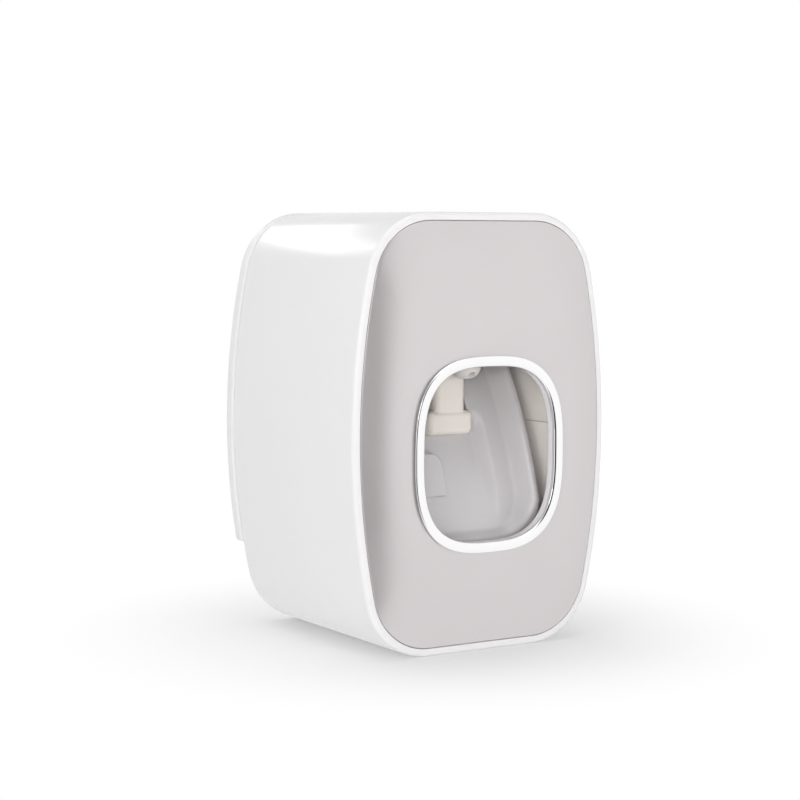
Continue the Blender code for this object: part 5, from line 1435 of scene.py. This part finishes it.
# Back cover and wall bracket
def make_back_cover():
    cover = slab("back_cover", casing_outline(RIM_THICKNESS + SEAT_GAP), COVER_Y, REAR_Y, "front")
    front, rear = COVER_Y - OVERSHOOT, REAR_Y + OVERSHOOT
    half = HOOK_HALF_WIDTH + RUNNING_GAP
    sink_y = REAR_Y - 2 * SEAT_GAP - SCREW_HEAD_HEIGHT
    for side in (-1, 1):
        cut(cover, box("hook_slot",
                       (side * (HOOK_OFFSET - half), front, HOOK_Z - BRACKET_TRAVEL - RUNNING_GAP),
                       (side * (HOOK_OFFSET + half), rear, HOOK_Z + HOOK_NECK + SEAT_GAP)))
        for height in (MIDDLE_Z + SCREW_BOSS_RISE, MIDDLE_Z - SCREW_BOSS_RISE):
            line = ("Y", (side * SCREW_X, height))
            cut(cover, bar("cover_hole", line, front, rear, SCREW_RADIUS + SEAT_GAP, SMALL_ROUND),
                bar("head_sink", line, sink_y, rear, SCREW_HEAD_RADIUS + SEAT_GAP, PIN_ROUND))
    dull(cover)
    piece("back_cover", cover, BACK, "housing", "shell_white", "rear_cover")


def make_wall_plate():
    """The bracket: a plate of the casing's outline with two hooks in front and a recess for the pad."""
    face_y = REAR_Y + SEAT_GAP
    back_y = face_y + BRACKET_THICKNESS
    plate = slab("wall_plate", casing_outline(0.0), face_y, back_y, "front")
    cut(plate, box("bracket_lower_cut", (-CASING_WIDTH, face_y - OVERSHOOT, -OVERSHOOT),
                   (CASING_WIDTH, back_y + OVERSHOOT, BRACKET_BOTTOM)))
    soften(plate, BRACKET_ROUNDING, 6)
    side_reach = PAD_HALF_SIDE + SEAT_GAP
    recess = rounded_box(side_reach, PAD_MIDDLE_Z - side_reach, PAD_MIDDLE_Z + side_reach, BLUNT, BLUNT)
    cut(plate, slab("pad_recess", recess, back_y - PAD_RECESS, back_y + OVERSHOOT, "front"))
    lip_back = COVER_Y - SEAT_GAP
    lip_front = lip_back - HOOK_LIP_THICKNESS
    root_y, neck_top = face_y + BRACKET_THICKNESS / 3, HOOK_Z + HOOK_NECK
    for side in (-1, 1):
        near, far = side * (HOOK_OFFSET - HOOK_HALF_WIDTH), side * (HOOK_OFFSET + HOOK_HALF_WIDTH)
        neck = box("hook_neck", (near, lip_front, HOOK_Z), (far, root_y, neck_top))
        lip = box("hook_lip", (near, lip_front, HOOK_Z + HOOK_NECK / 3), (far, lip_back, neck_top + HOOK_LIP))
        add(neck, lip)
        soften(neck, SOFT)
        add(plate, neck)
    piece("wall_plate", plate, BACK, "bracket", "shell_white", "wall_bracket")


def make_foam_pad():
    """The adhesive pad: a thin foam square with soft edges."""
    front = REAR_Y + SEAT_GAP + BRACKET_THICKNESS - PAD_RECESS + SEAT_GAP
    low, high = PAD_MIDDLE_Z - PAD_HALF_SIDE, PAD_MIDDLE_Z + PAD_HALF_SIDE
    outline = rounded_box(PAD_HALF_SIDE, low, high, PAD_CORNER, PAD_CORNER)
    pad = slab("foam_pad", outline, front, front + PAD_THICKNESS, "front")
    soften(pad, EASED)
    item = piece("foam_pad", pad, FOAM, "bracket", "pad_foam", "adhesive_pad")


# Return spring
def make_return_coil():
    """The spring between the barrel's cap and the crosshead, built as one fixed coil."""
    start = CYLINDER_REAR_Y + CAP_THICKNESS + 2 * SEAT_GAP
    length = COVER_Y - CROSSHEAD_CLEARANCE - YOKE_CROSSHEAD - SEAT_GAP - start
    seed = as_object("return_coil", bpy.data.meshes.new("return_coil"))
    place = Matrix.Translation((0, start + SPRING_WIRE_RADIUS, PUMP_Z))
    placing = place @ Matrix.Rotation(-math.pi / 2, 4, "X")
    coil = grow(seed, coil_tree(), SPRING_STEEL, placing, turns=float(SPRING_TURNS),
                coil_radius=SPRING_COIL_RADIUS, height=length - 2 * SPRING_WIRE_RADIUS,
                wire_radius=SPRING_WIRE_RADIUS)
    item = piece("return_coil", coil, SPRING_STEEL, "housing", "steel", "return_spring", sharp=50)
    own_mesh(item)


camera_place = make_camera()
make_world(camera_place)
make_floor()
add_lamp("top_softbox", (-0.1, 0.1, 1.1), (0, 0, 0.05), (1.0, 1.0), 5.2)
add_lamp("left_strip", (-1.0, -0.36, 0.28), (0, 0, 0.05), (0.25, 0.9), 0.8)
add_lamp("front_fill", (-0.62, -0.88, 0.13), (0, 0, 0.05), (0.9, 0.22), 5.2, mirrored=False)
add_lamp("right_fill", (0.45, -0.95, 0.14), (0, 0, 0.05), (0.7, 0.22), 2.4, mirrored=False)
add_lamp("left_fill", (-1.0, -0.25, 0.30), (0, 0, 0.05), (0.7, 0.5), 0.9, mirrored=False)
add_lamp("corner_glint", (-0.86, -0.44, 0.34), (0.015, -0.024, 0.043), (0.30, 0.30), 0.5)
add_lamp("back_highlight", (-0.16, 1.04, 0.66), (0, 0, 0.09), (0.70, 0.22), 1.1)
add_lamp("right_back", (0.85, 0.55, 0.15), (0, 0, 0.05), (0.5, 0.5), 2.1)
make_casing_shell()
make_domed_panel()
make_window_ring()
make_lever_tray()
make_shroud()
make_nozzle_tip()
make_upper_liner()
make_lower_liner()
make_pump_barrel()
make_spout_elbow()
make_plunger_yoke()
make_plunger_head()
make_barrel_cap()
make_flaps()
make_tube_socket()
make_pins()
make_screws()
make_back_cover()
make_wall_plate()
make_foam_pad()
make_return_coil()

for leftover in list(WORKSHOP.objects):
    bpy.data.objects.remove(leftover, do_unlink=True)
bpy.context.scene.view_settings.view_transform = "Standard"
